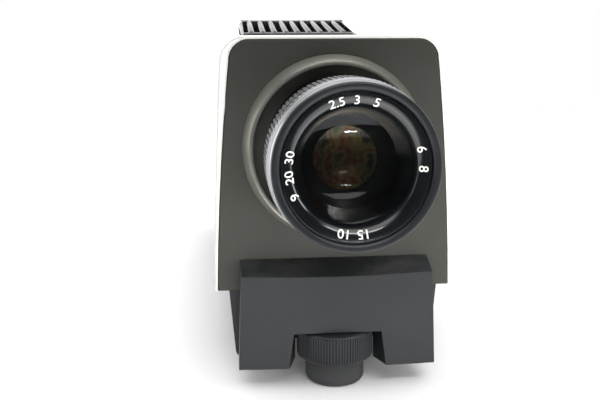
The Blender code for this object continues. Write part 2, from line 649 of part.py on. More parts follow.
def build_cooling_and_power(plastic, steel, copper, grey_metal):
    frame = box("fan_frame", (-40, 40), (FAN_DEPTH - 40, FAN_DEPTH + 40), (FAN_BOTTOM, FAN_TOP),
                plastic)
    axis = (0.0, FAN_DEPTH)
    bore = disc(FAN_BORE, FAN_BOTTOM - 10, FAN_TOP + 8)
    combine(frame, turned("fan_bore", bore, None, "height", axis, 36))
    hub = disc(16.0, FAN_BOTTOM, FAN_BOTTOM + 2.8)
    combine(frame, turned("fan_hub", hub, None, "height", axis, 24), "UNION")
    for k in range(4):
        spoke = box(f"spoke_{k}", (12, 40), (-2, 2), (FAN_BOTTOM + 0.2, FAN_BOTTOM + 2.6))
        turn_about_fan(spoke, math.pi / 2 * k + math.pi / 4)
        combine(frame, spoke, "UNION")
    for x in (-39.5, 35.5):
        for depth in (FAN_DEPTH - 39.5, FAN_DEPTH + 35.5):
            leg = box("fan_leg", (x, x + 4), (depth, depth + 4), (INNER_FLOOR, FAN_BOTTOM + 1))
            combine(frame, leg, "UNION")

    turned("fan_motor", disc(15.5, -36.6, -24.0), steel, "height", axis, 32)
    cup = [(0.0, -21.5), (18.0, -21.5), (18.0, -36.0), (16.2, -36.0), (16.2, -23.0), (0.0, -23.0)]
    rotor = turned("fan_rotor", cup, plastic, "height", axis, 24, (0.0, FAN_DEPTH, -29.0))
    for k in range(7):
        blade_ends = [[(x, -5.8, -34.0), (x, -4.2, -34.0), (x, 5.8, -23.5), (x, 4.2, -23.5)]
                      for x in (17.2, 36.2)]
        blade = loft(f"blade_{k}", blade_ends, None, smooth=False)
        turn_about_fan(blade, 2 * math.pi * k / 7)
        combine(rotor, blade, "UNION")

    core = box("transformer_core", (-34, 34), (295, 335), (INNER_FLOOR, -51.2), steel)
    combine(core, box("core_window", (-22, 22), (290, 340), (-97.2, -61.2)))
    box("transformer_coil", (-21.7, 21.7), (286, 344), (-96.9, -61.5), copper, 4.0)
    box("chassis_plate", (-56, 56), (60, 266.6), (BODY_BOTTOM, BODY_BOTTOM + CHASSIS_THICKNESS),
        grey_metal)


def turn_about_fan(item, angle):
    """Turn a piece made around the panel's upright axis and carry it to the fan's axis."""
    near = place(0, 0, 0)
    far = place(0, FAN_DEPTH, 0)
    for vertex in item.data.vertices:
        x, y = vertex.co.x - near.x, vertex.co.y - near.y
        vertex.co.x = far.x + x * math.cos(angle) - y * math.sin(angle)
        vertex.co.y = far.y + x * math.sin(angle) + y * math.cos(angle)


def grown(limits, amount):
    return (limits[0] - amount, limits[1] + amount)


def build_rear_fittings(black, key_black, steel):
    lip = (REAR_PANEL_BACK + GAP, REAR_PANEL_BACK + 2.3)
    inlet = box("power_inlet", INLET_X, (352, 371), INLET_HEIGHT, black)
    flange = box("inlet_flange", grown(INLET_X, 2.5), lip, grown(INLET_HEIGHT, 2.0))
    combine(inlet, flange, "UNION")
    combine(inlet, box("inlet_cavity", grown(INLET_X, -2), (355, 376), grown(INLET_HEIGHT, -2)))
    for x, height in ((-38.5, -47.8), (-25.5, -47.8), (-32.0, -43.8)):
        pin = box("inlet_pin", (x - 1, x + 1), (354, 370), (height - 2, height + 2))
        combine(inlet, pin, "UNION")

    housing = box("switch_housing", SWITCH_X, (352, 371), SWITCH_HEIGHT, black)
    flange = box("switch_flange", grown(SWITCH_X, 2.5), lip, grown(SWITCH_HEIGHT, 2.5))
    combine(housing, flange, "UNION")
    for name, x in ROCKER_SPOTS:
        window = box(f"{name}_window", (x - 7.5, x + 7.5), (354, 376), (-55.4, -34.6))
        combine(housing, window)
        rocker = side_profile(name, rocker_outline(), (x - 7.2, x + 7.2), key_black)
        move_origin(rocker, (x, *ROCKER_AXIS))

    holder = [(0.0, 354.0), (8.0, 354.0), (8.0, lip[0]), (9.8, lip[0]), (9.8, lip[1] - 0.5),
              (6.3, lip[1] - 0.5), (6.3, 355.5), (0.0, 355.5)]
    turned("fuse_holder", holder, black, centre=FUSE_SPOT, steps=32)
    cap = turned("fuse_cap", disc(6.2, 358.0, 373.8), steel, centre=FUSE_SPOT, steps=32,
                 pivot=(FUSE_SPOT[0], 371.0, FUSE_SPOT[1]))
    combine(cap, box("cap_slot", (-4.5, 4.5), (372.6, 376), grown((FUSE_SPOT[1],) * 2, 0.7)))


def rocker_outline():
    """A rocker at rest: its lower half lies level and its upper half stands out.

    Both ends curve round the pivot, so that they pass the housing when it tips.
    """
    tilt, face = math.radians(ROCKER_TILT), 5.2

    def end(start, stop):
        return [(ROCKER_REACH * math.sin(start + (stop - start) * k / 4),
                 ROCKER_REACH * math.cos(start + (stop - start) * k / 4)) for k in range(5)]

    sunk = -math.asin(1.0 / ROCKER_REACH)
    level = math.asin(face / ROCKER_REACH)
    apex = face * math.sin(tilt)
    along = math.sqrt(ROCKER_REACH ** 2 - face ** 2 + apex ** 2) - apex
    raised = math.asin((face + along * math.sin(tilt)) / ROCKER_REACH)
    upper = end(sunk, raised)
    lower = [(depth, -height) for depth, height in end(level, sunk)]
    outline = upper + [(face, 0.0)] + lower + [(-6.0, -3.0), (-6.0, 3.0)]
    return [(ROCKER_AXIS[0] + depth, ROCKER_AXIS[1] + height) for depth, height in outline]


def build():
    clear_scene()
    cream = make_material("cream_paint", (0.83, 0.82, 0.78), 0.4)
    olive = make_material("olive_paint", (0.09, 0.092, 0.078), 0.45, 0.2)
    silver = make_material("collar_paint", (0.36, 0.37, 0.31), 0.35, 0.7)
    black = make_material("black_plastic", (0.02, 0.022, 0.025), 0.4)
    grip = make_material("grip_plastic", (0.03, 0.032, 0.036), 0.5)
    rubber = make_material("foot_rubber", (0.025, 0.026, 0.028), 0.85)
    black_metal = make_material("black_anodised", (0.015, 0.016, 0.018), 0.3, 0.6)
    grey = make_material("plated_sheet", (0.45, 0.46, 0.47), 0.4, 0.9)
    steel = make_material("steel", (0.55, 0.56, 0.57), 0.35, 1.0)
    brass = make_material("brass", (0.6, 0.45, 0.2), 0.35, 1.0)
    copper = make_material("wound_wire", (0.45, 0.2, 0.08), 0.5, 0.5)
    ceramic = make_material("ceramic", (0.75, 0.73, 0.68), 0.7)
    glass = make_material("coated_glass", (0.75, 0.85, 0.83), 0.03, 0.0, 0.35)
    lamp_glass = make_material("lamp_glass", (0.9, 0.9, 0.9), 0.05, 0.0, 0.45)
    mirror = make_material("mirror", (0.85, 0.85, 0.86), 0.05, 1.0)
    key_black = make_material("rocker_plastic", (0.05, 0.05, 0.05), 0.35)

    build_base(black, rubber)
    build_chin(black)
    build_elevating_foot(black, steel, brass, rubber)
    build_front(cream, olive, silver)
    build_lens(black_metal, grip, grey, glass)
    build_housing(cream, black, steel)
    build_vent(black, steel)
    build_gate(grey, black_metal, black)
    build_light_source(grey, ceramic, glass, lamp_glass, mirror, steel)
    build_cooling_and_power(black, steel, copper, grey)
    build_rear_fittings(black, key_black, steel)


build()
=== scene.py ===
"""The finished look of a medium format slide projector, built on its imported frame.

Lengths are in millimetres and become metres in at(). X runs to the right seen from the front,
depth from the front panel's face to the rear, and height from the lens axis.
"""
import json
import math

import bmesh
import bpy
from mathutils import Matrix, Vector


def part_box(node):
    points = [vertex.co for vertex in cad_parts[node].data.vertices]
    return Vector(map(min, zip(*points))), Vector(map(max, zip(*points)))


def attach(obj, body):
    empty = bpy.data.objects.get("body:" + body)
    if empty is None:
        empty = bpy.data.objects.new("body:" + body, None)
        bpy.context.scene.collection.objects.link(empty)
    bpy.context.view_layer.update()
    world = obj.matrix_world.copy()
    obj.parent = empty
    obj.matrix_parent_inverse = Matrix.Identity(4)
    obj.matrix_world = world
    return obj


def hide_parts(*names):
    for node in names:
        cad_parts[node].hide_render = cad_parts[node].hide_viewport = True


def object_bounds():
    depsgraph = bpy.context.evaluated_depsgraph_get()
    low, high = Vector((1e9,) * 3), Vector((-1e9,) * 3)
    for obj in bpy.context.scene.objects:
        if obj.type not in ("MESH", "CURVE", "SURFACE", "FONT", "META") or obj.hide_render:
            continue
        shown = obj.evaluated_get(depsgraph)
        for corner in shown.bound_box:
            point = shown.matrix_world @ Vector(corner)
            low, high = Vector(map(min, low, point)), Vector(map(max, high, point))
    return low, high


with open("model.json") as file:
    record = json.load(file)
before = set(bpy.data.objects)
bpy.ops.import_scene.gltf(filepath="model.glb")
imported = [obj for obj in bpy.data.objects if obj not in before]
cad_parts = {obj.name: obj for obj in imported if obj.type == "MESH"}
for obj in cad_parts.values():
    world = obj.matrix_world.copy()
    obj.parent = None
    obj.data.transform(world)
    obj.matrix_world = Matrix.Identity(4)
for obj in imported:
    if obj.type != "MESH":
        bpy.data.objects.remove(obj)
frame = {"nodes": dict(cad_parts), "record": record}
cad_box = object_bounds()

MM = 0.001
FACE_Y = Vector(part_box("front_panel")[0]).y
AXIS_Z = sum(Vector(corner).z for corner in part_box("lens_barrel")) / 2

# The tent's brightness from the front (direction -1) to the back (1), and of its ceiling
TENT = ((-0.3, 0.03), (0.1, 0.75), (0.6, 0.85), (0.92, 1.7))
CEILING = (0.62, 0.85, 1.75)
# Each light's name, place, target, size and power
LIGHTS = (
    ("bounce", (0.06, -0.36, 0.02), (0.0, -0.16, 0.1), (0.5, 0.14), 1.15),
    ("strip", (0.25, -0.95, 1.0), (0.0, -0.15, 0.12), (1.1, 0.16), 5.5),
    ("left", (-1.3, 0.1, 0.4), (0.0, 0.05, 0.1), (0.9, 0.8), 7.0),
    ("right", (1.1, -0.45, 0.35), (0.0, -0.1, 0.1), (0.25, 0.6), 2.0),
    ("tube", (0.47, -3.15, 0.42), (0.0, -0.2, 0.12), (0.3, 0.022), 1.2),
)
# The light that is seen neither in reflections nor through glass
UNREFLECTED = ("bounce",)
FLOOR_X, FLOOR_Y = (-1.8, 1.8), (-0.46, 1.7)
CAMERA_PLACE = (-51.7, -391.1, 48.8)
CAMERA_YAW = 0.087
CAMERA_PITCH = 0.189
CAMERA_ROLL = -0.006
CAMERA_LENS = 47.29
SENSOR_WIDTH = 36.0
SQUARE = ((0, 0), (1, 0), (1, 1), (0, 1))
# The front foot's axis, as (x, depth)
FOOT_AXIS = (0.0, -1.6)
# A cut that goes right through the rear panel
THROUGH = (360, 380)


def at(x, depth, height):
    """A point given from the panel's face and the lens axis, in metres in the frame."""
    return Vector((x * MM, FACE_Y + depth * MM, AXIS_Z + height * MM))


def limits(node):
    """A node's box as ((x, x), (depth, depth), (height, height)) in millimetres."""
    low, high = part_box(node)
    xs = (low[0] / MM, high[0] / MM)
    depths = ((low[1] - FACE_Y) / MM, (high[1] - FACE_Y) / MM)
    heights = ((low[2] - AXIS_Z) / MM, (high[2] - AXIS_Z) / MM)
    return xs, depths, heights


# Shapes


def placed(name, data):
    """Put data into the scene as an object."""
    item = bpy.data.objects.new(name, data)
    bpy.context.scene.collection.objects.link(item)
    return item


def solid(name, points, faces, smooth=32.0):
    """A mesh object from points in millimetres, facing outwards."""
    mesh = bpy.data.meshes.new(name)
    mesh.from_pydata([at(*point) for point in points], [], faces)
    work = bmesh.new()
    work.from_mesh(mesh)
    bmesh.ops.recalc_face_normals(work, faces=work.faces)
    work.to_mesh(mesh)
    work.free()
    if smooth:
        mesh.shade_smooth()
        mesh.set_sharp_from_angle(angle=math.radians(smooth))
    return placed(name, mesh)


def loft(name, sections, smooth=32.0):
    """Join outlines with equal point counts, in order, and close both ends."""
    count = len(sections[0])
    points = [point for section in sections for point in section]
    faces = [tuple(range(count)), tuple(range(len(points) - count, len(points)))]
    for level in range(len(sections) - 1):
        for k in range(count):
            a, b = level * count + k, level * count + (k + 1) % count
            faces.append((a, b, b + count, a + count))
    return solid(name, points, faces, smooth)


def ring_loft(name, sections, smooth):
    """Join outlines in a closed loop of sections, so that the last one meets the first."""
    count, levels = len(sections[0]), len(sections)
    points = [point for section in sections for point in section]
    faces = []
    for level in range(levels):
        for k in range(count):
            a, b = level * count + k, level * count + (k + 1) % count
            c, d = (a + count) % (count * levels), (b + count) % (count * levels)
            faces.append((a, b, d, c))
    return solid(name, points, faces, smooth)


def turned(name, profile, centre=(0.0, 0.0), along="depth", steps=96, smooth=32.0):
    """Turn a closed outline of (radius, distance) points about an axis.

    Along depth, centre is (x, height). Along height, centre is (x, depth). Along x, it is
    (depth, height).
    """
    points, rings = [], []
    for radius, distance in profile:
        ring = []
        for k in range(steps if radius else 1):
            angle = 2 * math.pi * k / steps
            u, v = radius * math.cos(angle) + centre[0], radius * math.sin(angle) + centre[1]
            ring.append(len(points))
            points.append({"depth": (u, distance, v), "height": (u, v, distance),
                           "x": (distance, u, v)}[along])
        rings.append(ring)
    faces = []
    for ring, following in zip(rings, rings[1:] + rings[:1]):
        for k in range(steps):
            corners = [ring[k % len(ring)], ring[(k + 1) % len(ring)],
                       following[(k + 1) % len(following)], following[k % len(following)]]
            corners = list(dict.fromkeys(corners))
            if len(corners) > 2:
                faces.append(tuple(corners))
    return solid(name, points, faces, smooth)


def rod(name, radius, span, centre=(0.0, 0.0), along="depth", steps=96):
    """A plain cylinder between two distances along its axis."""
    start, stop = span
    profile = [(0, start), (radius, start), (radius, stop), (0, stop)]
    return turned(name, profile, centre, along, steps)


def block(name, x, depth, height):
    """A box between two values of x, depth and height."""
    return loft(name, [[(x[i], d, height[j]) for i, j in SQUARE] for d in depth], 0.0)


def side_profile(name, outline, x):
    """Extrude an outline of (depth, height) points across X."""
    return loft(name, [[(side, d, h) for d, h in outline] for side in x], 0.0)


def rounded(item, width, segments=3, angle=35.0):
    """Round an item's edges and keep its flats flat."""
    edge = item.modifiers.new("rounded", "BEVEL")
    edge.width = width * MM
    edge.segments = segments
    edge.limit_method = "ANGLE"
    edge.angle_limit = math.radians(angle)
    edge.harden_normals = True
    item.data.shade_smooth()
    return item


def settle(item):
    """Apply an item's modifiers, so that its mesh is final."""
    bpy.context.view_layer.update()
    seen = item.evaluated_get(bpy.context.evaluated_depsgraph_get())
    mesh = bpy.data.meshes.new_from_object(seen)
    item.modifiers.clear()
    item.data = mesh
    return item


def combine(item, tools, operation="DIFFERENCE"):
    """Cut tools away from an item, or weld them on, and remove the tools."""
    for tool in tools:
        step = item.modifiers.new(tool.name, "BOOLEAN")
        step.operation = operation
        step.solver = "EXACT"
        step.object = tool
        settle(item)
        bpy.data.objects.remove(tool, do_unlink=True)
    return item


def gather(item, others):
    """Join other items into one mesh with an item, each as it stands."""
    work = bmesh.new()
    for part in [item, *others]:
        settle(part)
        work.from_mesh(part.data)
    work.to_mesh(item.data)
    work.free()
    item.data.shade_smooth()
    item.data.set_sharp_from_angle(angle=math.radians(32))
    for part in others:
        bpy.data.objects.remove(part, do_unlink=True)
    return item


def finish_piece(item, material, body, node=None):
    """Give a piece its material and body, and hide the CAD node that it stands for."""
    item.data.materials.clear()
    item.data.materials.append(material)
    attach(item, body)
    if node:
        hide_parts(node)
    return item


# Materials


class Surface:
    """A procedural material, built up one feature at a time on a Principled BSDF."""

    def __init__(self, name, colour, roughness, metallic=0.0):
        self.material = bpy.data.materials.new(name)
        self.material.use_nodes = True
        self.tree = self.material.node_tree
        self.shader = self.tree.nodes["Principled BSDF"]
        self.shader.inputs["Base Color"].default_value = (*colour, 1.0)
        self.shader.inputs["Roughness"].default_value = roughness
        self.shader.inputs["Metallic"].default_value = metallic
        self.colour, self.roughness = colour, roughness
        self.place = self.tree.nodes.new("ShaderNodeTexCoord").outputs["Object"]
        self.height = None

    def node(self, kind, **settings):
        item = self.tree.nodes.new(kind)
        for key, value in settings.items():
            setattr(item, key, value)
        return item

    def link(self, source, target):
        self.tree.links.new(source, target)

    def stretched(self, stretch):
        mapping = self.node("ShaderNodeMapping")
        mapping.inputs["Scale"].default_value = stretch
        self.link(self.place, mapping.inputs["Vector"])
        return mapping.outputs["Vector"]

    def noise(self, scale, detail=4.0, stretch=None, rough=0.55):
        item = self.node("ShaderNodeTexNoise")
        item.inputs["Scale"].default_value = scale
        item.inputs["Detail"].default_value = detail
        item.inputs["Roughness"].default_value = rough
        self.link(self.stretched(stretch) if stretch else self.place, item.inputs["Vector"])
        return item.outputs["Fac"]

    def cells(self, scale):
        item = self.node("ShaderNodeTexVoronoi", feature="SMOOTH_F1")
        item.inputs["Scale"].default_value = scale
        self.link(self.place, item.inputs["Vector"])
        return item.outputs["Distance"]

    def spread(self, value, low, high, start=0.3, end=0.7):
        """Map a 0 to 1 pattern's middle onto a range."""
        item = self.node("ShaderNodeMapRange")
        item.inputs["From Min"].default_value = start
        item.inputs["From Max"].default_value = end
        item.inputs["To Min"].default_value = low
        item.inputs["To Max"].default_value = high
        self.link(value, item.inputs["Value"])
        return item.outputs["Result"]

    def mottle(self, amount, scale=18.0, tint=(1.0, 1.0, 1.0)):
        """Vary the colour softly between a darker and a lighter, slightly tinted shade."""
        ramp = self.node("ShaderNodeValToRGB")
        low = [c * (1 - amount) * t for c, t in zip(self.colour, tint)]
        high = [min(1.0, c * (1 + amount)) for c in self.colour]
        ramp.color_ramp.elements[0].position = 0.32
        ramp.color_ramp.elements[0].color = (*low, 1.0)
        ramp.color_ramp.elements[1].position = 0.68
        ramp.color_ramp.elements[1].color = (*high, 1.0)
        self.link(self.noise(scale), ramp.inputs["Fac"])
        self.paint = ramp.outputs["Color"]
        self.link(self.paint, self.shader.inputs["Base Color"])
        return self

    def layer(self, mask, colour, strength):
        """Lay another colour over the paint where a 0 to 1 mask says."""
        amount = self.node("ShaderNodeMath", operation="MULTIPLY")
        amount.inputs[1].default_value = strength
        self.link(mask, amount.inputs[0])
        mix = self.node("ShaderNodeMix", data_type="RGBA")
        mix.inputs["B"].default_value = (*colour, 1.0)
        self.link(amount.outputs[0], mix.inputs["Factor"])
        self.link(self.paint, mix.inputs["A"])
        self.paint = mix.outputs["Result"]
        self.link(self.paint, self.shader.inputs["Base Color"])
        return self

    def dust(self, colour, strength, scale=90.0):
        """Fine dust that gathers on what faces up."""
        facing = self.node("ShaderNodeSeparateXYZ")
        self.link(self.node("ShaderNodeNewGeometry").outputs["Normal"], facing.inputs[0])
        up = self.spread(facing.outputs["Z"], 0.0, 1.0, 0.35, 0.95)
        patches = self.spread(self.noise(scale, 6.0), 0.0, 1.0, 0.42, 0.75)
        both = self.node("ShaderNodeMath", operation="MULTIPLY")
        self.link(up, both.inputs[0])
        self.link(patches, both.inputs[1])
        return self.layer(both.outputs[0], colour, strength)

    def gloss(self, spread, scale=35.0, stretch=None):
        """Vary the roughness about its middle, as handling and wiping do."""
        low, high = max(0.02, self.roughness - spread), min(1.0, self.roughness + spread)
        self.link(self.spread(self.noise(scale, 5.0, stretch), low, high),
                  self.shader.inputs["Roughness"])
        return self

    def relief(self, pattern, strength, distance):
        """Raise the surface by a pattern; distance is in millimetres."""
        bump = self.node("ShaderNodeBump")
        bump.inputs["Strength"].default_value = strength
        bump.inputs["Distance"].default_value = distance * MM
        self.link(pattern, bump.inputs["Height"])
        if self.height:
            self.link(self.height, bump.inputs["Normal"])
        self.height = bump.outputs["Normal"]
        self.link(self.height, self.shader.inputs["Normal"])
        return self

    def scuffs(self, colour, strength, along=(1.0, 14.0, 14.0)):
        """Sparse fine scratches in one direction."""
        marks = self.spread(self.noise(60.0, 8.0, along, 0.7), 0.0, 1.0, 0.69, 0.76)
        return self.layer(marks, colour, strength)

    def coat(self, weight, roughness):
        self.shader.inputs["Coat Weight"].default_value = weight
        self.shader.inputs["Coat Roughness"].default_value = roughness
        return self


def cream_shell():
    look = Surface("cream_shell", (0.84, 0.83, 0.80), 0.36)
    look.mottle(0.02, 9.0, (1.0, 0.99, 0.965)).dust((0.62, 0.59, 0.53), 0.10)
    look.scuffs((0.55, 0.53, 0.48), 0.12).gloss(0.07)
    look.relief(look.noise(900.0, 3.0), 0.22, 0.06)
    return look.relief(look.noise(120.0, 2.0), 0.12, 0.05).material


def olive_panel():
    look = Surface("olive_panel", (0.046, 0.047, 0.040), 0.5, 0.15)
    look.mottle(0.08, 22.0, (1.0, 0.98, 0.94)).scuffs((0.16, 0.16, 0.14), 0.16)
    look.gloss(0.05)
    look.relief(look.noise(1500.0, 3.0), 0.35, 0.06)
    return look.relief(look.noise(260.0, 2.0), 0.1, 0.05).material


def collar_finish():
    look = Surface("collar_finish", (0.40, 0.40, 0.355), 0.34, 0.75)
    look.mottle(0.07, 40.0, (1.0, 0.99, 0.95)).gloss(0.07)
    look.relief(look.noise(1800.0, 2.0), 0.12, 0.03)
    return look.scuffs((0.5, 0.5, 0.46), 0.12).material


def black_moulding(name="black_moulding", colour=(0.013, 0.0145, 0.017), roughness=0.4,
                   grain=0.35, size=1100.0):
    look = Surface(name, colour, roughness)
    look.mottle(0.14, 26.0, (1.0, 1.0, 0.96)).dust((0.20, 0.19, 0.17), 0.16)
    look.scuffs((0.10, 0.10, 0.105), 0.2).gloss(0.06)
    look.relief(look.cells(size), grain, 0.09)
    return look.relief(look.noise(240.0, 2.0), 0.12, 0.06).material


def foot_rubber():
    look = Surface("foot_rubber", (0.028, 0.029, 0.031), 0.78)
    look.mottle(0.2, 60.0, (1.0, 0.98, 0.93)).dust((0.2, 0.19, 0.17), 0.4, 160.0).gloss(0.08)
    look.relief(look.noise(700.0, 6.0), 0.5, 0.1)
    return look.material


def black_anodised():
    look = Surface("black_anodised", (0.02, 0.022, 0.025), 0.34, 0.35)
    look.mottle(0.12, 80.0).gloss(0.07)
    look.scuffs((0.11, 0.11, 0.12), 0.25, (14.0, 1.0, 14.0))
    return look.relief(look.noise(60.0, 3.0, (1.0, 60.0, 1.0)), 0.15, 0.02).material


def gloss_black():
    look = Surface("gloss_black", (0.004, 0.005, 0.006), 0.2)
    look.mottle(0.12, 80.0).gloss(0.04)
    return look.scuffs((0.02, 0.02, 0.022), 0.2, (14.0, 1.0, 14.0)).coat(1.0, 0.1).material


def grip_moulding():
    look = Surface("grip_moulding", (0.34, 0.346, 0.356), 0.3, 0.8)
    look.mottle(0.08, 70.0).gloss(0.07)
    look.scuffs((0.5, 0.5, 0.54), 0.2, (14.0, 1.0, 14.0))
    return look.relief(look.noise(1300.0, 3.0), 0.2, 0.05).material


def sheet_metal(name, colour, roughness):
    grain = (1.0, 40.0, 1.0)
    look = Surface(name, colour, roughness, 0.95)
    look.mottle(0.08, 30.0, (1.0, 0.99, 0.96)).gloss(0.1, 20.0, grain)
    look.scuffs(tuple(c * 0.6 for c in colour), 0.35)
    return look.relief(look.noise(90.0, 3.0, grain), 0.2, 0.03).material


def dull_solid(name, colour, roughness, scale=300.0, strength=0.35):
    look = Surface(name, colour, roughness)
    look.mottle(0.12, 60.0, (1.0, 0.97, 0.92)).gloss(0.08)
    return look.relief(look.noise(scale, 6.0), strength, 0.12).material


def winding():
    look = Surface("coil_winding", (0.42, 0.17, 0.06), 0.32, 0.7)
    look.mottle(0.2, 120.0, (1.0, 0.85, 0.7)).gloss(0.08)
    bands = look.node("ShaderNodeTexWave", wave_type="BANDS", bands_direction="Y")
    bands.inputs["Scale"].default_value = 420.0
    look.link(look.place, bands.inputs["Vector"])
    return look.relief(bands.outputs["Fac"], 0.8, 0.35).material


def clear_glass(name, colour, unevenness):
    """Polished glass with faint smears and a slightly uneven tint."""
    look = Surface(name, colour, 0.03)
    look.shader.inputs["Transmission Weight"].default_value = 1.0
    look.shader.inputs["IOR"].default_value = 1.52
    look.mottle(unevenness, 40.0)
    look.link(look.spread(look.noise(55.0, 6.0), 0.0, 0.012, 0.5, 0.8),
              look.shader.inputs["Roughness"])
    return look.material


def coated_glass():
    """Coated glass deep in the barrel, its dim brown and olive sheen painted into the colour as a
    painted reflection.
    """
    look = Surface("coated_glass", (0.085, 0.07, 0.04), 0.38, 0.8)
    look.coat(1.0, 0.02)
    # Painted reflection: these brown, red and olive bands in the base colour stand in for the sheen
    # of the coatings.
    bands = ((0.36, (0.030, 0.034, 0.024)), (0.44, (0.200, 0.150, 0.056)),
             (0.51, (0.150, 0.040, 0.018)), (0.58, (0.170, 0.130, 0.044)),
             (0.68, (0.030, 0.025, 0.020)))
    ramp = look.node("ShaderNodeValToRGB")
    for k, (position, colour) in enumerate(bands):
        stop = ramp.color_ramp.elements[0] if k == 0 else ramp.color_ramp.elements.new(position)
        stop.position, stop.color = position, (*colour, 1.0)
    ramp.color_ramp.elements.remove(ramp.color_ramp.elements[-1])
    look.link(look.noise(85.0, 4.0), ramp.inputs["Fac"])
    look.link(ramp.outputs["Color"], look.shader.inputs["Base Color"])
    return look.material


def pale_floor():
    look = Surface("pale_floor", (0.96, 0.96, 0.96), 0.9)
    look.mottle(0.008, 400.0)
    return look.relief(look.noise(900.0, 2.0), 0.05, 0.05).material


def mirror_finish():
    look = Surface("mirror_finish", (0.86, 0.86, 0.88), 0.06, 1.0)
    look.mottle(0.03, 60.0).gloss(0.03)
    return look.relief(look.noise(400.0, 3.0), 0.06, 0.02).material


def numeral_paint():
    look = Surface("numeral_paint", (0.78, 0.78, 0.74), 0.5)
    look.mottle(0.05, 300.0, (1.0, 0.98, 0.92)).gloss(0.05)
    return look.relief(look.noise(2400.0, 2.0), 0.2, 0.02).material


# Outlines shared by the housing pieces


PANEL_BOTTOM, PANEL_TOP = limits("front_panel")[2]
BODY_FRONT, BODY_REAR = limits("body_cover")[1]
BODY_BOTTOM = limits("body_cover")[2][0]
VENT_FRONT, VENT_REAR = limits("vent_cover")[1][0], 228.0
ROOF_FRONT = 54.9
ROOF_SLOPE = 0.0221
ROOF_REAR = limits("body_cover")[2][1]
WALL = 2.5
CORNER_RADIUS = 13.0
PANEL_CORNER = 10.0
BEZEL_RIM = 1.4
BEZEL_DEPTH = limits("front_bezel")[1][1]


def body_half_width(height):
    return 59.47 - 0.0515 * height - 0.000193 * height ** 2


def panel_half_width(height):
    return 56.19 - 0.0795 * height - 0.000374 * height ** 2


def roof(depth):
    """The roof rises gently, climbs beside the vent and runs level to the rear."""
    low = ROOF_FRONT + ROOF_SLOPE * min(depth, VENT_FRONT)
    climb = min(max((depth - VENT_FRONT) / (VENT_REAR - VENT_FRONT), 0.0), 1.0)
    return low + (ROOF_REAR - low) * climb


def arch(half_width, bottom, top, radius, inset=0.0):
    """A closed outline with gently curved sides and round top corners."""
    top, bottom, radius = top - inset, bottom + inset, radius - inset
    spring = top - radius
    right = [(half_width(height) - inset, height)
             for height in (bottom + (spring - bottom) * k / 20 for k in range(21))]
    lean = right[-1][0]
    for k in range(1, 15):
        angle = math.pi / 2 * k / 14
        right.append((lean - radius + radius * math.cos(angle), spring + radius * math.sin(angle)))
    return right + [(-x, height) for x, height in reversed(right)]


def at_depth(outline, depth):
    return [(x, depth, height) for x, height in outline]


def shell(half_width, top, radius, insets, depth):
    """A wall's outline: up one side, over the roof and down, open at the bottom."""
    outer, inner = (arch(half_width, BODY_BOTTOM - inset, top, radius, inset) for inset in insets)
    return at_depth(outer + inner[::-1], depth)


# Housing


def body_cover():
    depths = [BODY_FRONT, 60, 100, 130, VENT_FRONT]
    depths += [VENT_FRONT + (VENT_REAR - VENT_FRONT) * k / 6 for k in range(1, 7)]
    depths += [270, 320, BODY_REAR]
    cover = loft("housing_cover", [shell(body_half_width, roof(depth), CORNER_RADIUS, (0, WALL),
                                         depth) for depth in depths])
    (vent_left, vent_right), _, (vent_bottom, vent_top) = limits("vent_cover")
    vent = block("vent_cut", (vent_left - 0.5, vent_right + 0.5),
                 (VENT_FRONT - 0.5, VENT_REAR + 0.5), (vent_bottom - 9, vent_top + 9))
    carrier_front, carrier_rear = limits("slide_carrier")[1]
    slot = block("slot_cut", (40, 80), (carrier_front - 0.5, carrier_rear + 0.5), (-47, 47))
    combine(cover, [vent, slot])
    return rounded(cover, 0.6)


def front_bezel():
    """The white surround: a rim round the panel that flares back to the seam, with a spigot."""
    def ring(depth, blend, outer_shift, inner_blend):
        """The outer face blends from the panel's rim to the seam; so does the inner one."""
        outlines = []
        for part, rim, seam in ((blend, outer_shift - BEZEL_RIM, outer_shift + 0.7),
                                (inner_blend, -0.3, 3.2)):
            near = arch(panel_half_width, BODY_BOTTOM - rim, PANEL_TOP, PANEL_CORNER, rim)
            far = arch(body_half_width, BODY_BOTTOM - seam, roof(BEZEL_DEPTH), CORNER_RADIUS, seam)
            outlines.append([(x + (wide - x) * part, height + (high - height) * part)
                             for (x, height), (wide, high) in zip(near, far)])
        return at_depth(outlines[0] + outlines[1][::-1], depth)

    sections = [ring(0.0, 0.0, 0.55, 0.0), ring(0.12, 0.0, 0.2, 0.0), ring(0.5, 0.02, 0.0, 0.0)]
    sections += [ring(depth, (depth / BEZEL_DEPTH) ** 0.85, 0.0, depth / BEZEL_DEPTH)
                 for depth in (2.0, 4.0, 7.0, 10.0, 13.0, 16.0, BEZEL_DEPTH - 0.5)]
    sections += [ring(BEZEL_DEPTH - 0.1, 1.0, 0.25, 1.0), ring(BEZEL_DEPTH, 1.0, 1.2, 1.0),
                 ring(BEZEL_DEPTH + 3.0, 1.0, 2.15, 1.0)]
    return loft("front_surround", sections, 28.0)


def front_panel():
    plate = arch(panel_half_width, PANEL_BOTTOM, PANEL_TOP, PANEL_CORNER)
    inner = arch(panel_half_width, PANEL_BOTTOM, PANEL_TOP, PANEL_CORNER, 0.3)
    panel = loft("face_plate", [at_depth(inner, 0.0), at_depth(plate, 0.3), at_depth(plate, 3.0)])
    hole = rod("face_hole", 34.4, (-2, 6), steps=128)
    return rounded(combine(panel, [hole]), 0.2, 2)


def lens_collar():
    profile = [(46.4, -0.3), (46.25, -0.9), (43.35, -10.1), (43.15, -10.5), (42.8, -10.6),
               (41.75, -10.6), (41.4, -10.35), (41.1, -9.8), (43.9, -0.9), (44.0, -0.3)]
    return turned("collar_cone", profile, steps=160, smooth=40.0)


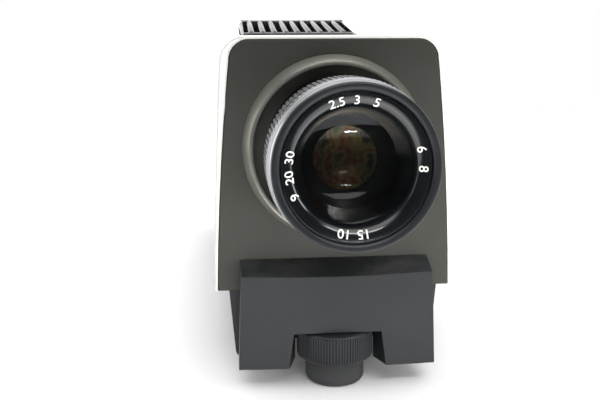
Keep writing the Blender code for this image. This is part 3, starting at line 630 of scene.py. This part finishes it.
def chin():
    """The black moulding under the lens, crowned in front and hollow behind its notch."""
    depth, bottom, top, drop = 14.3, -110.6, -56.5, 5.4
    notch_top = -92.2

    def level(half, height, slope):
        row = [(-half, -0.3)]
        for k in range(25):
            x = half * (k / 12 - 1)
            row.append((x, -depth - 1.5 * (1 - (x / half) ** 2)))
        row.append((half, -0.3))
        return [(x, d, height + slope * d / depth) for x, d in row]

    body = loft("front_chin_moulding", [level(50.3, bottom, 0), level(48.4, top, drop)])
    behind = (2.5 - depth, 3)
    hollows = [block("hollow", (-43.5, 43.5), behind, (notch_top + 3, top - 9)),
               block("lug_slot", (-14.5, 14.5), behind, (notch_top - 2, notch_top + 5))]
    for side in (-1, 1):
        hollows.append(block("pocket", sorted((28.5 * side, 43.5 * side)), behind,
                             (bottom + 2.5, notch_top + 4)))
    levels = ((-30, 22.3, 25.3), (-depth - 1.5, 22.3, 25.3), (0, 20.5, 20.5), (5, 20.5, 20.5))
    notch = [[(-upper, d, notch_top), (upper, d, notch_top), (lower, d, bottom - 3),
              (-lower, d, bottom - 3)] for d, upper, lower in levels]
    combine(body, [*hollows, loft("notch", notch, 0.0)])
    return rounded(body, 1.5, 5, 48.0)


def base_tub():
    top, bottom, front, rear = -73.6, -110.0, 2.0, 366.0

    def section(depth, inset, top):
        radius = 4.0 - inset * 0.5
        half = [(51.7 - inset - radius + radius * math.sin(math.pi / 12 * k),
                 bottom + inset + radius - radius * math.cos(math.pi / 12 * k)) for k in range(7)]
        half.append((54.4 - inset, top))
        return at_depth(half + [(-x, height) for x, height in reversed(half)], depth)

    tub = loft("base_tray", [section(depth, 0, top) for depth in (front, rear)])
    flange = block("flange", (-60.5, 60.5), (24, rear), (BODY_BOTTOM - 3.3, BODY_BOTTOM - 0.3))
    combine(tub, [flange], "UNION")
    inside = (front + 2.5, rear - 2.5)
    hollow = loft("tray_hollow", [section(depth, 2.5, top + 0.3) for depth in inside])
    combine(hollow, [block("mouth", (-51.5, 51.5), inside, (top - 4, BODY_BOTTOM + 5))], "UNION")
    combine(hollow, [block("well", (-28, 28), (-3, 29), (bottom - 5, -89.2))])
    pocket = block("pocket", (-25.4, 25.4), (-3, 26.5), (bottom - 6, -92.2))
    relief = rod("relief", 10.5, (-89.2, top + 1), FOOT_AXIS, "height", 48)
    combine(tub, [hollow, pocket, relief])
    combine(tub, [block("lug", (-14, 14), (-11.3, 6), (-92.2, -89.2))], "UNION")
    hole = rod("bush_hole", 8.3, (-94, -87), FOOT_AXIS, "height", 48)
    slots = [block(f"intake_{k}", (-30, 30), (288 + 8 * k, 292 + 8 * k), (bottom - 2, bottom + 4))
             for k in range(7)]
    combine(tub, [hole, *slots])
    return rounded(tub, 0.6, 2, 50.0)


def vent_cover():
    """The ribbed hot-air grille: a wedge-shaped frame with round-topped ribs along it."""
    left, right = limits("vent_cover")[0]
    front, rear, shoulder = VENT_FRONT, VENT_REAR, 4.5
    bottom, low, high = limits("vent_cover")[2][0], 60.8, 70.7
    rise = (high - low) / (rear - front)
    hinge, knuckle = (231.6, 68.2), (-36.0, 30.0)

    def top(depth):
        return low + rise * (depth - front)

    def across(depth, sink=0.0):
        """The outline across, with long round shoulders."""
        rounding = [(0.0, bottom)]
        for k in range(9):
            angle = math.pi / 16 * k
            rounding.append((shoulder * (1 - math.cos(angle)),
                             top(depth) - sink - shoulder * (1 - math.sin(angle))))
        outline = [(right - inset, height) for inset, height in rounding]
        outline += [(left + inset, height) for inset, height in reversed(rounding)]
        return at_depth(outline, depth)

    cover = loft("roof_grille", [across(front, 1.6), across(front + 0.3, 1.1),
                                 across(front + 2.8, 0.7), across(front + 6.0, 0.5),
                                 across(rear - 3.0, 0.5), across(rear - 1.0, 0.0), across(rear)],
                 20.0)
    hollow = [(front + 2.6, bottom - 2), (rear - 3, bottom - 2), (rear - 3, 90), (front + 2.6, 90)]
    combine(cover, [side_profile("grille_hollow", hollow, (left + 2.4, right - 2.4))])
    parts = []
    for k in range(9):
        x, reach = -36.1 + k * 8.03, 2.2
        sections = []
        for depth, sink in ((front + 1.2, 2.4), (front + 1.7, 1.1), (front + 2.6, 0.3),
                            (front + 3.6, 0.0), (rear - 1.5, 0.0)):
            crest = top(depth) - reach - sink
            outline = [(x - reach, bottom + 0.4)]
            for step in range(13):
                angle = math.pi * (1 - step / 12)
                outline.append((x + reach * math.cos(angle), crest + reach * math.sin(angle)))
            outline.append((x + reach, bottom + 0.4))
            sections.append(at_depth(outline, depth))
        parts.append(loft(f"rib_{k}", sections, 40.0))
    for depth in (182.0, 204.0):
        parts.append(block(f"tie_{depth:.0f}", (left + 2, right - 2), (depth, depth + 2.5),
                           (bottom + 0.3, bottom + 3.0)))
    parts.append(turned("knuckle", [(2.4, knuckle[0]), (2.4, knuckle[1]), (1.4, knuckle[1]),
                                    (1.4, knuckle[0])], hinge, "x", 32))
    parts.append(block("web", knuckle, (rear - 1, hinge[0] - 2.2), (66.4, 70.0)))
    return gather(cover, parts)


# Lens


FLUTES = 96


def focus_ring():
    """The focusing ring: a plain band behind the rim, then broad rectangular flutes."""
    def band(depth, radius, cut=0.0):
        points = []
        for k in range(FLUTES):
            for part, deep in ((0.0, 0), (0.56, 0), (0.62, 1), (0.94, 1)):
                angle = 2 * math.pi * (k + part) / FLUTES
                reach = radius - cut * deep
                points.append((reach * math.cos(angle), depth, reach * math.sin(angle)))
        return points

    sections = [band(-68.8, 34.25), band(-68.8, 35.7), band(-68.2, 36.3), band(-61.2, 36.95),
                band(-60.9, 36.5), band(-60.3, 36.5), band(-60.0, 37.0), band(-59.7, 37.3, 0.15),
                band(-59.2, 37.3, 1.05), band(-37.9, 37.3, 1.05), band(-37.3, 37.1, 0.9),
                band(-37.0, 36.4), band(-37.0, 34.25)]
    return ring_loft("focus_grip", sections, 40.0)


def front_rim():
    profile = [(32.2, -69.2), (35.6, -69.2), (35.9, -69.5), (35.9, -71.9), (35.75, -72.5),
               (35.4, -72.85), (34.9, -73.0), (34.2, -72.95), (33.2, -72.6), (32.75, -72.3),
               (32.35, -71.8), (32.2, -71.3)]
    return turned("front_rim_ring", profile, steps=160, smooth=50.0)


BOWL = ((31.6, -71.3), (29.4, -70.8), (27.4, -69.8), (25.7, -67.9), (24.3, -65.0), (23.2, -61.2),
        (22.2, -56.8), (21.2, -51.2))
NUMERAL_RADIUS = 28.2


def eased(points, steps=5):
    """A smooth curve through points, as closely spaced points."""
    padded = [points[0], *points, points[-1]]
    curve = []
    for a, b, c, d in zip(padded, padded[1:], padded[2:], padded[3:]):
        for k in range(steps):
            t = k / steps
            curve.append(tuple(0.5 * (2 * q + (r - p) * t + (2 * p - 5 * q + 4 * r - w) * t ** 2
                                      + (3 * q - p - 3 * r + w) * t ** 3)
                               for p, q, r, w in zip(a, b, c, d)))
    return curve + [points[-1]]


def scale_ring():
    """The black bowl round the glass, almost flat at the numbers and steep within."""
    profile = [(31.9, -71.1), *eased(BOWL), (21.1, -50.5), (21.4, -50.2), (31.0, -50.2),
               (31.0, -69.2), (31.9, -69.2)]
    return turned("name_ring", profile, steps=192, smooth=50.0)


def numerals():
    """Generic numbers round the bowl, in white paint."""
    curve = eased(BOWL)
    near = min(range(1, len(curve) - 1), key=lambda k: abs(curve[k][0] - NUMERAL_RADIUS))
    middle_depth = curve[near][1]
    slope = (Vector(curve[near - 1]) - Vector(curve[near + 1])).normalized()
    marks = []

    def mount(mesh, bearing):
        """Lay a flat mark on the bowl at a bearing, counted clockwise from the top."""
        angle = math.radians(bearing)
        outward = Vector((math.sin(angle), 0.0, math.cos(angle)))
        across = Vector((math.cos(angle), 0.0, -math.sin(angle)))
        upward = outward * slope.x + Vector((0.0, slope.y, 0.0))
        normal = across.cross(upward)
        spot = at(0, middle_depth, 0) + outward * NUMERAL_RADIUS * MM + normal * 0.1 * MM
        turn = Matrix((across, upward, normal)).transposed().to_4x4()
        mesh.transform(Matrix.Translation(spot) @ turn)
        marks.append(mesh)

    groups = {0: ("2.5", "3", "5"), 83: ("6", "8"), 182: ("15", "10"), 263: ("9", "20", "30")}
    for centre, texts in groups.items():
        for k, text in enumerate(texts):
            letters = bpy.data.curves.new("mark", "FONT")
            letters.body = text
            letters.align_x = "CENTER"
            letters.align_y = "CENTER"
            letters.size = 5.8 * MM
            letters.offset = 0.04 * MM
            item = placed("mark", letters)
            bpy.context.view_layer.update()
            mesh = bpy.data.meshes.new_from_object(item)
            bpy.data.objects.remove(item, do_unlink=True)
            mount(mesh, centre + (k - (len(texts) - 1) / 2) * 17.0)
    work = bmesh.new()
    for mesh in marks:
        work.from_mesh(mesh)
    joined = bpy.data.meshes.new("focus_numerals")
    work.to_mesh(joined)
    work.free()
    return placed("focus_numerals", joined)


def lens_element(name, front_sag, rear_sag, front, rear):
    """A polished lens that bulges by two sags, with a fine ground bevel round its edge."""
    steps, radius, edge = 24, 31.0, 0.25
    profile = [(radius * k / steps * 0.995, front - front_sag * (1 - (k / steps) ** 2))
               for k in range(steps + 1)]
    profile += [(radius, front + edge), (radius, rear - edge)]
    profile += [(radius * k / steps * 0.995, rear + rear_sag * (1 - (k / steps) ** 2))
                for k in range(steps, -1, -1)]
    return turned(name, profile, steps=96, smooth=25.0)


def front_lens():
    return lens_element("front_lens", 3.6, 2.6, -47.0, -42.0)


def rear_lens():
    return lens_element("rear_lens", 1.0, 4.0, 24.0, 33.0)


def inner_lens():
    """The element behind the stop, dished in front so that it gathers the light of the room."""
    front, rear, dish, sag = -32.0, -24.0, 16.5, 1.9
    profile = [(dish * k / 16, front + sag * (1 - (k / 16) ** 2)) for k in range(17)]
    profile += [(30.6, front), (31.0, front + 0.4), (31.0, rear - 0.4), (30.6, rear)]
    profile += [(29.0 * k / 16, rear - 2.5 * (1 - (k / 16) ** 2)) for k in range(16, -1, -1)]
    return turned("middle_lens", profile, steps=96, smooth=25.0)


def barrel():
    """The barrel: plain outside with a shallow guide groove, stepped light traps inside."""
    profile = [(33.9, -68.9), (33.9, -36.0), (33.6, -35.7), (33.6, -34.9), (33.9, -34.6),
               (33.9, 47.6), (33.5, 48.0), (31.7, 48.0), (31.3, 47.6)]
    depth = 22.0
    while depth > -20.0:
        profile += [(31.3, depth), (30.2, depth - 0.4), (30.2, depth - 1.6), (31.3, depth - 2.0)]
        depth -= 4.0
    profile += [(31.3, -68.9)]
    return turned("lens_tube", profile, steps=128, smooth=30.0)


def inner_stop():
    """The matt black cone that closes the view down to the inner glass."""
    profile = [(31.0, -39.2), (31.0, -33.6), (13.9, -33.6), (13.7, -34.0), (27.5, -39.2)]
    return turned("lens_stop_cone", profile, steps=128, smooth=30.0)


# Feet, carrier and rear fittings


def thumbwheel():
    teeth, radius, centre = 84, 19.8, FOOT_AXIS[1]
    bottom, top = limits("thumbwheel")[2]

    def ring(height, reach, cut):
        points = []
        for k in range(teeth):
            for part, deep in ((0.0, 0), (0.4, 0), (0.55, 1), (0.85, 1)):
                angle = 2 * math.pi * (k + part) / teeth
                r = reach - cut * deep
                points.append((r * math.cos(angle), centre + r * math.sin(angle), height))
        return points

    sections = [ring(bottom, 4.4, 0), ring(bottom, 17.8, 0), ring(bottom + 0.3, 18.5, 0),
                ring(bottom + 1.2, radius - 0.2, 0.05), ring(bottom + 1.8, radius, 0.55),
                ring(top - 1.7, radius, 0.55), ring(top - 1.2, radius - 0.1, 0.05),
                ring(top - 0.3, 18.9, 0), ring(top, 18.2, 0), ring(top, 4.4, 0)]
    return ring_loft("knurled_wheel", sections, 35.0)


def foot_pad():
    low, high = limits("foot_pad")[2]
    radius, corner = 15.3, 3.4
    profile = [(0, low), (8.0, low), (8.4, low + 0.5), (9.2, low + 0.5), (9.6, low)]
    profile += [(radius - corner * (1 - math.sin(math.pi / 16 * k)),
                 low + corner * (1 - math.cos(math.pi / 16 * k))) for k in range(9)]
    profile += [(radius, high - 1.0), (radius - 0.3, high - 0.3), (radius - 1.0, high),
                (4.4, high), (4.4, -114.5), (0, -114.5)]
    return turned("front_foot", profile, FOOT_AXIS, "height", 96)


def screw_thread():
    """The elevating screw with its thread cut as a helix round the core."""
    pitch, low, high, steps = 1.5, -114.0, -76.5, 36
    rings = int((high - low) / pitch * steps)
    points, faces = [], []
    for k in range(rings + 1):
        angle = 2 * math.pi * k / steps
        height = low + pitch * k / steps
        for part, radius in ((0.0, 3.25), (0.4, 3.95), (0.6, 3.95), (1.0, 3.25)):
            h = min(max(height + (part - 0.5) * pitch, low), high)
            points.append((radius * math.cos(angle), FOOT_AXIS[1] + radius * math.sin(angle), h))
    for k in range(rings):
        for j in range(3):
            a = 4 * k + j
            faces.append((a, a + 1, a + 5, a + 4))
    thread = solid("thread_ridge", points, faces, 40.0)
    core = turned("elevating_thread", [(0, low), (2.9, low), (3.4, low + 0.6), (3.4, high - 0.8),
                                       (2.6, high), (0, high)], FOOT_AXIS, "height", 48)
    return gather(core, [thread])


def rear_foot(name, node):
    (left, right), (front, rear), (low, high) = limits(node)
    centre = ((left + right) / 2, (front + rear) / 2)
    profile = [(0, low), (3.0, low), (3.0, low + 1.2), (5.4, low + 1.2), (5.4, low), (7.2, low),
               (7.9, low + 0.5), (8.2, low + 1.4), (8.5, high - 0.3), (8.2, high), (0, high)]
    return turned(name, profile, centre, "height", 64)


def carrier_handle():
    """The carrier's outer end: a strip with a ridged pull tab."""
    (left, right), (front, rear), (low, high) = limits("carrier_handle")
    strip = rounded(block("carrier_pull", (left, 57.5), (front, rear), (low, high)), 0.5)
    tab = rounded(block("pull_tab", (56.8, right), (front + 0.2, rear - 0.2), (-17, 17)), 1.4, 4)
    ridges = []
    for k in range(9):
        height = (k - 4) * 3.2
        for depth in (front + 0.05, rear - 0.05):
            profile = [(0, 59.0), (0.35, 59.0), (0.5, 59.6), (0.5, right - 1.6),
                       (0.35, right - 1.2), (0, right - 1.2)]
            ridges.append(turned("ridge", profile, (depth, height), "x", 12))
    return gather(strip, [tab, *ridges])


def rear_panel():
    plate = arch(body_half_width, BODY_BOTTOM - 2.8, ROOF_REAR, CORNER_RADIUS, 2.8)
    panel = loft("rear_plate", [at_depth(plate, 367.0), at_depth(plate, 370.0)])
    holes = [block("inlet_hole", (-46.3, -17.7), THROUGH, (-57.3, -36.7)),
             block("switch_hole", (7.7, 46.3), THROUGH, (-57.3, -32.7)),
             rod("fuse_hole", 8.3, THROUGH, (0, -12.0))]
    for row in range(6):
        for side in (-1, 1):
            x = sorted((side * 6.0, side * 38.0))
            holes.append(block(f"louvre_{row}_{side}", x, THROUGH,
                               (14 + 5.2 * row, 16.6 + 5.2 * row)))
    combine(panel, holes)
    return rounded(panel, 0.4, 2, 50.0)


def cross_screw(name, node):
    """A domed screw head with a cross recess, and its shank."""
    (left, right), (front, rear), (low, high) = limits(node)
    centre = ((left + right) / 2, (low + high) / 2)
    head = [(0, front), (1.5, front), (1.5, 370.3), (3.4, 370.3), (3.4, 370.8), (3.1, 371.3),
            (2.3, 371.75), (1.2, 371.97), (0, rear)]
    screw = turned(name, head, centre, "depth", 48)
    x, height = centre
    cuts = [block("cross_a", (x - 1.7, x + 1.7), (370.9, 374), (height - 0.32, height + 0.32)),
            block("cross_b", (x - 0.32, x + 0.32), (370.9, 374), (height - 1.7, height + 1.7))]
    return combine(screw, cuts)


def rocker(name, node):
    """A rocker at rest, its lower half level, its upper half out and its ends round the pivot."""
    (left, right), _, _ = limits(node)
    tilt, reach, face = math.radians(16), 10.15, 5.2
    pivot = (367.0, -45.0)

    def end(start, stop):
        return [(reach * math.sin(start + (stop - start) * k / 8),
                 reach * math.cos(start + (stop - start) * k / 8)) for k in range(9)]

    sunk, level = -math.asin(1.0 / reach), math.asin(face / reach)
    apex = face * math.sin(tilt)
    along = math.sqrt(reach ** 2 - face ** 2 + apex ** 2) - apex
    raised = math.asin((face + along * math.sin(tilt)) / reach)
    lower = [(depth, -height) for depth, height in end(level, sunk)]
    outline = end(sunk, raised) + [(face, 0.0)] + lower + [(-6.0, -3.0), (-6.0, 3.0)]
    key = rounded(side_profile(name, [(pivot[0] + d, pivot[1] + h) for d, h in outline],
                               (left, right)), 0.4, 3, 12.0)
    x, front = (left + right) / 2, pivot[0] + face
    bar = block("bar", (x - 0.4, x + 0.4), (front - 0.1, front + 0.12),
                (pivot[1] - 6.4, pivot[1] - 2.8))
    ring = turned("ring", [(1.3, -0.1), (1.9, -0.1), (1.9, 0.12), (1.3, 0.12)], (0, 0), "depth", 32)
    origin = at(0, 0, 0)
    middle = at(x, front + 4.2 * math.sin(tilt), pivot[1] + 4.2 * math.cos(tilt))
    ring.data.transform(Matrix.Translation(middle) @ Matrix.Rotation(-tilt, 4, "X")
                        @ Matrix.Translation(-origin))
    return key, gather(bar, [ring])


def fuse_cap():
    profile = [(0, 358), (6.0, 358), (6.2, 358.3), (6.2, 373.2), (5.9, 373.6), (5.3, 373.8),
               (0, 373.8)]
    cap = turned("fuse_cap_turn", profile, (0.0, -12.0), "depth", 64)
    return combine(cap, [block("slot", (-4.6, 4.6), (372.6, 376), (-12.7, -11.3))])


# Inner pieces


def fan_rotor():
    """The fan's hub with seven twisted, swept blades."""
    centre = 312.0
    section = ((-6.3, -0.5), (0, -0.95), (6.3, -0.35), (6.3, 0.35), (0, 0.65), (-6.3, 0.5))
    cup = [(0, -21.5), (16.8, -21.5), (17.7, -21.9), (18.0, -22.8), (18.0, -36.0), (16.2, -36.0),
           (16.2, -23.0), (0, -23.0)]
    hub = turned("fan_wheel", cup, (0.0, centre), "height", 72)
    blades = []
    for k in range(7):
        sections = []
        for step in range(7):
            reach = 17.4 + 18.6 * step / 6
            lean = math.radians(48 - 14 * step / 6)
            sweep = 2 * math.pi * k / 7 + 0.16 * (step / 6) ** 2
            outline = []
            for u, v in section:
                turn = u * math.cos(lean) - v * math.sin(lean)
                rise = u * math.sin(lean) + v * math.cos(lean)
                x = reach * math.cos(sweep) - turn * math.sin(sweep)
                y = reach * math.sin(sweep) + turn * math.cos(sweep)
                outline.append((x, centre + y, -28.8 + rise))
            sections.append(outline)
        blades.append(loft(f"blade_{k}", sections, 40.0))
    return gather(hub, blades)


def lamp():
    """The lamp's quartz capsule, with the filament and its leads as a piece inside it."""
    centre = sum(limits("halogen_lamp")[1]) / 2
    outer = [(0, 13.8), (1.6, 13.4), (3.0, 12.6), (4.8, 11.4), (6.2, 9.6), (7.0, 7.0), (7.2, 4.0),
             (7.2, -16.0), (6.8, -18.4), (5.4, -20.4), (4.3, -21.6), (4.0, -23.0), (4.2, -32.0),
             (0, -32.0)]
    capsule = turned("lamp_capsule", outer, (0.0, centre), "height", 48)
    turns, steps = 9, 18
    coil_points, faces = [], []
    for k in range(turns * steps + 1):
        angle = 2 * math.pi * k / steps
        x = -3.6 + 7.2 * k / (turns * steps)
        for j in range(6):
            tube = 2 * math.pi * j / 6
            reach = 1.5 + 0.22 * math.cos(tube)
            coil_points.append((x + 0.22 * math.sin(tube), centre + reach * math.cos(angle),
                                reach * math.sin(angle)))
    for k in range(turns * steps):
        for j in range(6):
            a, b = 6 * k + j, 6 * k + (j + 1) % 6
            faces.append((a, b, b + 6, a + 6))
    coil = solid("lamp_filament", coil_points, faces, 60.0)
    leads = [rod("lead", 0.35, (-31.0, 0.0), (side * 3.6, centre), "height", 12)
             for side in (-1, 1)]
    return capsule, gather(coil, leads)


def transformer_core():
    """A stack of laminations: thin plates with a hair's gap, round the winding."""
    (left, right), (front, rear), (low, high) = limits("transformer_core")
    count = 20
    pitch = (rear - front) / count
    plates = []
    for k in range(count):
        start = front + pitch * k
        inset = 0.12 * (k % 2)
        plate = block(f"plate_{k}", (left + inset, right - inset), (start, start + pitch - 0.12),
                      (low + inset, high - inset))
        combine(plate, [block("window", (-22, 22), (front - 5, rear + 5), (-97.2, -61.2))])
        plates.append(plate)
    core = plates[0]
    core.name = "laminations"
    bolts = [rod("bolt", 2.6, (front - 1.2, rear + 1.2), (x, h), "depth", 6)
             for x in (left + 5, right - 5) for h in (low + 5, high - 5)]
    return gather(core, plates[1:] + bolts)


# Scene


def camera():
    data = bpy.data.cameras.new("camera")
    data.lens = CAMERA_LENS
    data.sensor_width = SENSOR_WIDTH
    data.clip_start = 0.01
    item = placed("camera", data)
    forward = Vector((math.sin(CAMERA_YAW), math.cos(CAMERA_YAW), 0.0)) * math.cos(CAMERA_PITCH)
    forward.z = -math.sin(CAMERA_PITCH)
    level = Vector((math.cos(CAMERA_YAW), -math.sin(CAMERA_YAW), 0.0))
    upright = level.cross(forward)
    right = level * math.cos(CAMERA_ROLL) + upright * math.sin(CAMERA_ROLL)
    turn = Matrix((right, right.cross(forward), -forward)).transposed().to_4x4()
    item.matrix_world = Matrix.Translation(at(*CAMERA_PLACE)) @ turn
    bpy.context.scene.camera = item


def floor(material):
    mesh = bpy.data.meshes.new("floor")
    mesh.from_pydata([(FLOOR_X[i], FLOOR_Y[j], 0) for i, j in SQUARE], [], [(0, 1, 2, 3)])
    item = placed("floor", mesh)
    item.location.z = cad_box[0][2]
    mesh.materials.append(material)


def area_light(name, place, target, size, power):
    data = bpy.data.lights.new(name, "AREA")
    data.shape = "RECTANGLE"
    data.size, data.size_y = size
    data.energy = power
    item = placed(name, data)
    item.location = place
    item.visible_glossy = item.visible_transmission = name not in UNREFLECTED
    item.rotation_euler = (Vector(target) - Vector(place)).to_track_quat("-Z", "Y").to_euler()


def studio():
    """A white tent behind, beside and above the projector, open to a dim room in front.

    The camera sees a plain white backdrop in the tent's place.
    """
    world = bpy.data.worlds.new("studio")
    world.use_nodes = True
    nodes, links = world.node_tree.nodes, world.node_tree.links
    split = nodes.new("ShaderNodeSeparateXYZ")
    links.new(nodes.new("ShaderNodeTexCoord").outputs["Generated"], split.inputs[0])

    def ramp(axis, start, end, low, high):
        reach = nodes.new("ShaderNodeMapRange")
        reach.interpolation_type = "SMOOTHSTEP"
        for name, value in (("From Min", start), ("From Max", end), ("To Min", low),
                            ("To Max", high)):
            reach.inputs[name].default_value = value
        links.new(split.outputs[axis], reach.inputs["Value"])
        return reach.outputs["Result"]

    def larger(first, second):
        item = nodes.new("ShaderNodeMath")
        item.operation = "MAXIMUM"
        links.new(first, item.inputs[0])
        links.new(second, item.inputs[1])
        return item.outputs[0]

    start, end, height = CEILING
    light = ramp("Z", start, end, 0.0, height)
    for (near, low), (far, high) in zip(TENT, TENT[1:]):
        light = larger(light, ramp("Y", near, far, low if near == TENT[0][0] else 0.0, high))
    backdrop = nodes.new("ShaderNodeMix")
    backdrop.inputs["B"].default_value = 1.0
    links.new(nodes.new("ShaderNodeLightPath").outputs["Is Camera Ray"],
              backdrop.inputs["Factor"])
    links.new(light, backdrop.inputs["A"])
    links.new(backdrop.outputs["Result"], nodes["Background"].inputs["Strength"])
    nodes["Background"].inputs["Color"].default_value = (1.0, 1.0, 1.0, 1.0)
    bpy.context.scene.world = world
    for light in LIGHTS:
        area_light(*light)
    bpy.context.scene.view_settings.view_transform = "Standard"


def main():
    camera()
    studio()
    floor(pale_floor())

    cream = cream_shell()
    black = black_moulding()
    fine_black = black_moulding("fine_black_moulding", (0.018, 0.019, 0.022), 0.2, 0.08, 1600.0)
    anodised = black_anodised()
    steel = sheet_metal("steel", (0.56, 0.56, 0.57), 0.3)
    plated = sheet_metal("plated_sheet", (0.46, 0.47, 0.48), 0.38)
    rubber = foot_rubber()
    matt_black = dull_solid("matt_black", (0.008, 0.009, 0.010), 0.75, 900.0, 0.2)
    glass = clear_glass("lens_glass", (0.93, 0.96, 0.95), 0.02)
    filter_glass = clear_glass("filter_glass", (0.80, 0.92, 0.90), 0.02)
    white_paint = numeral_paint()
    core_iron = dull_solid("core_iron", (0.10, 0.095, 0.09), 0.5, 500.0, 0.2)

    for build, material, body, node, slot in (
            (body_cover, cream, "chassis", "body_cover", "cream_shell"),
            (front_bezel, cream, "chassis", "front_bezel", "cream_shell"),
            (front_panel, olive_panel(), "chassis", "front_panel", "olive_panel"),
            (lens_collar, collar_finish(), "chassis", "lens_collar", "collar_finish"),
            (chin, black, "chassis", "front_chin", "black_moulding"),
            (base_tub, black, "chassis", "base_tub", "black_moulding"),
            (vent_cover, fine_black, "vent_cover", "vent_cover", "black_moulding"),
            (rear_panel, black, "chassis", "rear_panel", "black_moulding"),
            (focus_ring, grip_moulding(), "focus_ring", "focus_ring", "grip_moulding"),
            (front_rim, anodised, "lens", "lens_front_rim", "black_anodised"),
            (scale_ring, gloss_black(), "lens", "lens_scale_ring", "black_anodised"),
            (numerals, white_paint, "lens", None, None),
            (barrel, anodised, "lens", "lens_barrel", "black_anodised"),
            (inner_stop, matt_black, "lens", None, None),
            (front_lens, glass, "lens", "front_element", "lens_glass"),
            (inner_lens, coated_glass(), "lens", "middle_element", "lens_glass"),
            (rear_lens, glass, "lens", "rear_element", "lens_glass"),
            (thumbwheel, black, "foot_screw", "thumbwheel", "black_moulding"),
            (screw_thread, steel, "foot_screw", "elevating_screw", "steel"),
            (foot_pad, rubber, "foot", "foot_pad", "foot_rubber")):
        finish_piece(build(), material, body, node)
    for side in ("left", "right"):
        node = f"rear_foot_{side}"
        finish_piece(rear_foot(f"standing_foot_{side}", node), rubber, "chassis", node)
    finish_piece(carrier_handle(), black, "carrier", "carrier_handle")
    for number in range(1, 5):
        node = f"rear_screw_{number}"
        finish_piece(cross_screw(f"cross_screw_{number}", node), steel, "chassis", node)
    for node in ("power_rocker", "lamp_rocker"):
        body, mark = rocker(f"{node}_key", node)
        finish_piece(body, fine_black, node, node)
        mark.name = f"{node}_mark"
        finish_piece(mark, white_paint, node)
    finish_piece(fuse_cap(), fine_black, "fuse_cap", "fuse_cap")
    finish_piece(fan_rotor(), black, "fan", "fan_rotor")
    capsule, filament = lamp()
    finish_piece(capsule, clear_glass("quartz", (0.97, 0.97, 0.97), 0.01), "chassis",
                 "halogen_lamp")
    finish_piece(filament, steel, "chassis")
    finish_piece(transformer_core(), core_iron, "chassis", "transformer_core")

    carried = {
        "black_moulding": black, "plated_sheet": plated, "steel": steel,
        "black_anodised": anodised, "lens_glass": glass, "filter_glass": filter_glass,
        "coil_winding": winding(), "mirror_finish": mirror_finish(), "core_iron": core_iron,
        "socket_ceramic": dull_solid("socket_ceramic", (0.72, 0.70, 0.64), 0.55),
        "bush_brass": sheet_metal("bush_brass", (0.62, 0.45, 0.19), 0.34),
    }
    for part in frame["record"]["subparts"]:
        material = carried.get(part["material_slot"])
        if material:
            node = frame["nodes"][part["node"]]
            node.data.materials.clear()
            node.data.materials.append(material)


main()
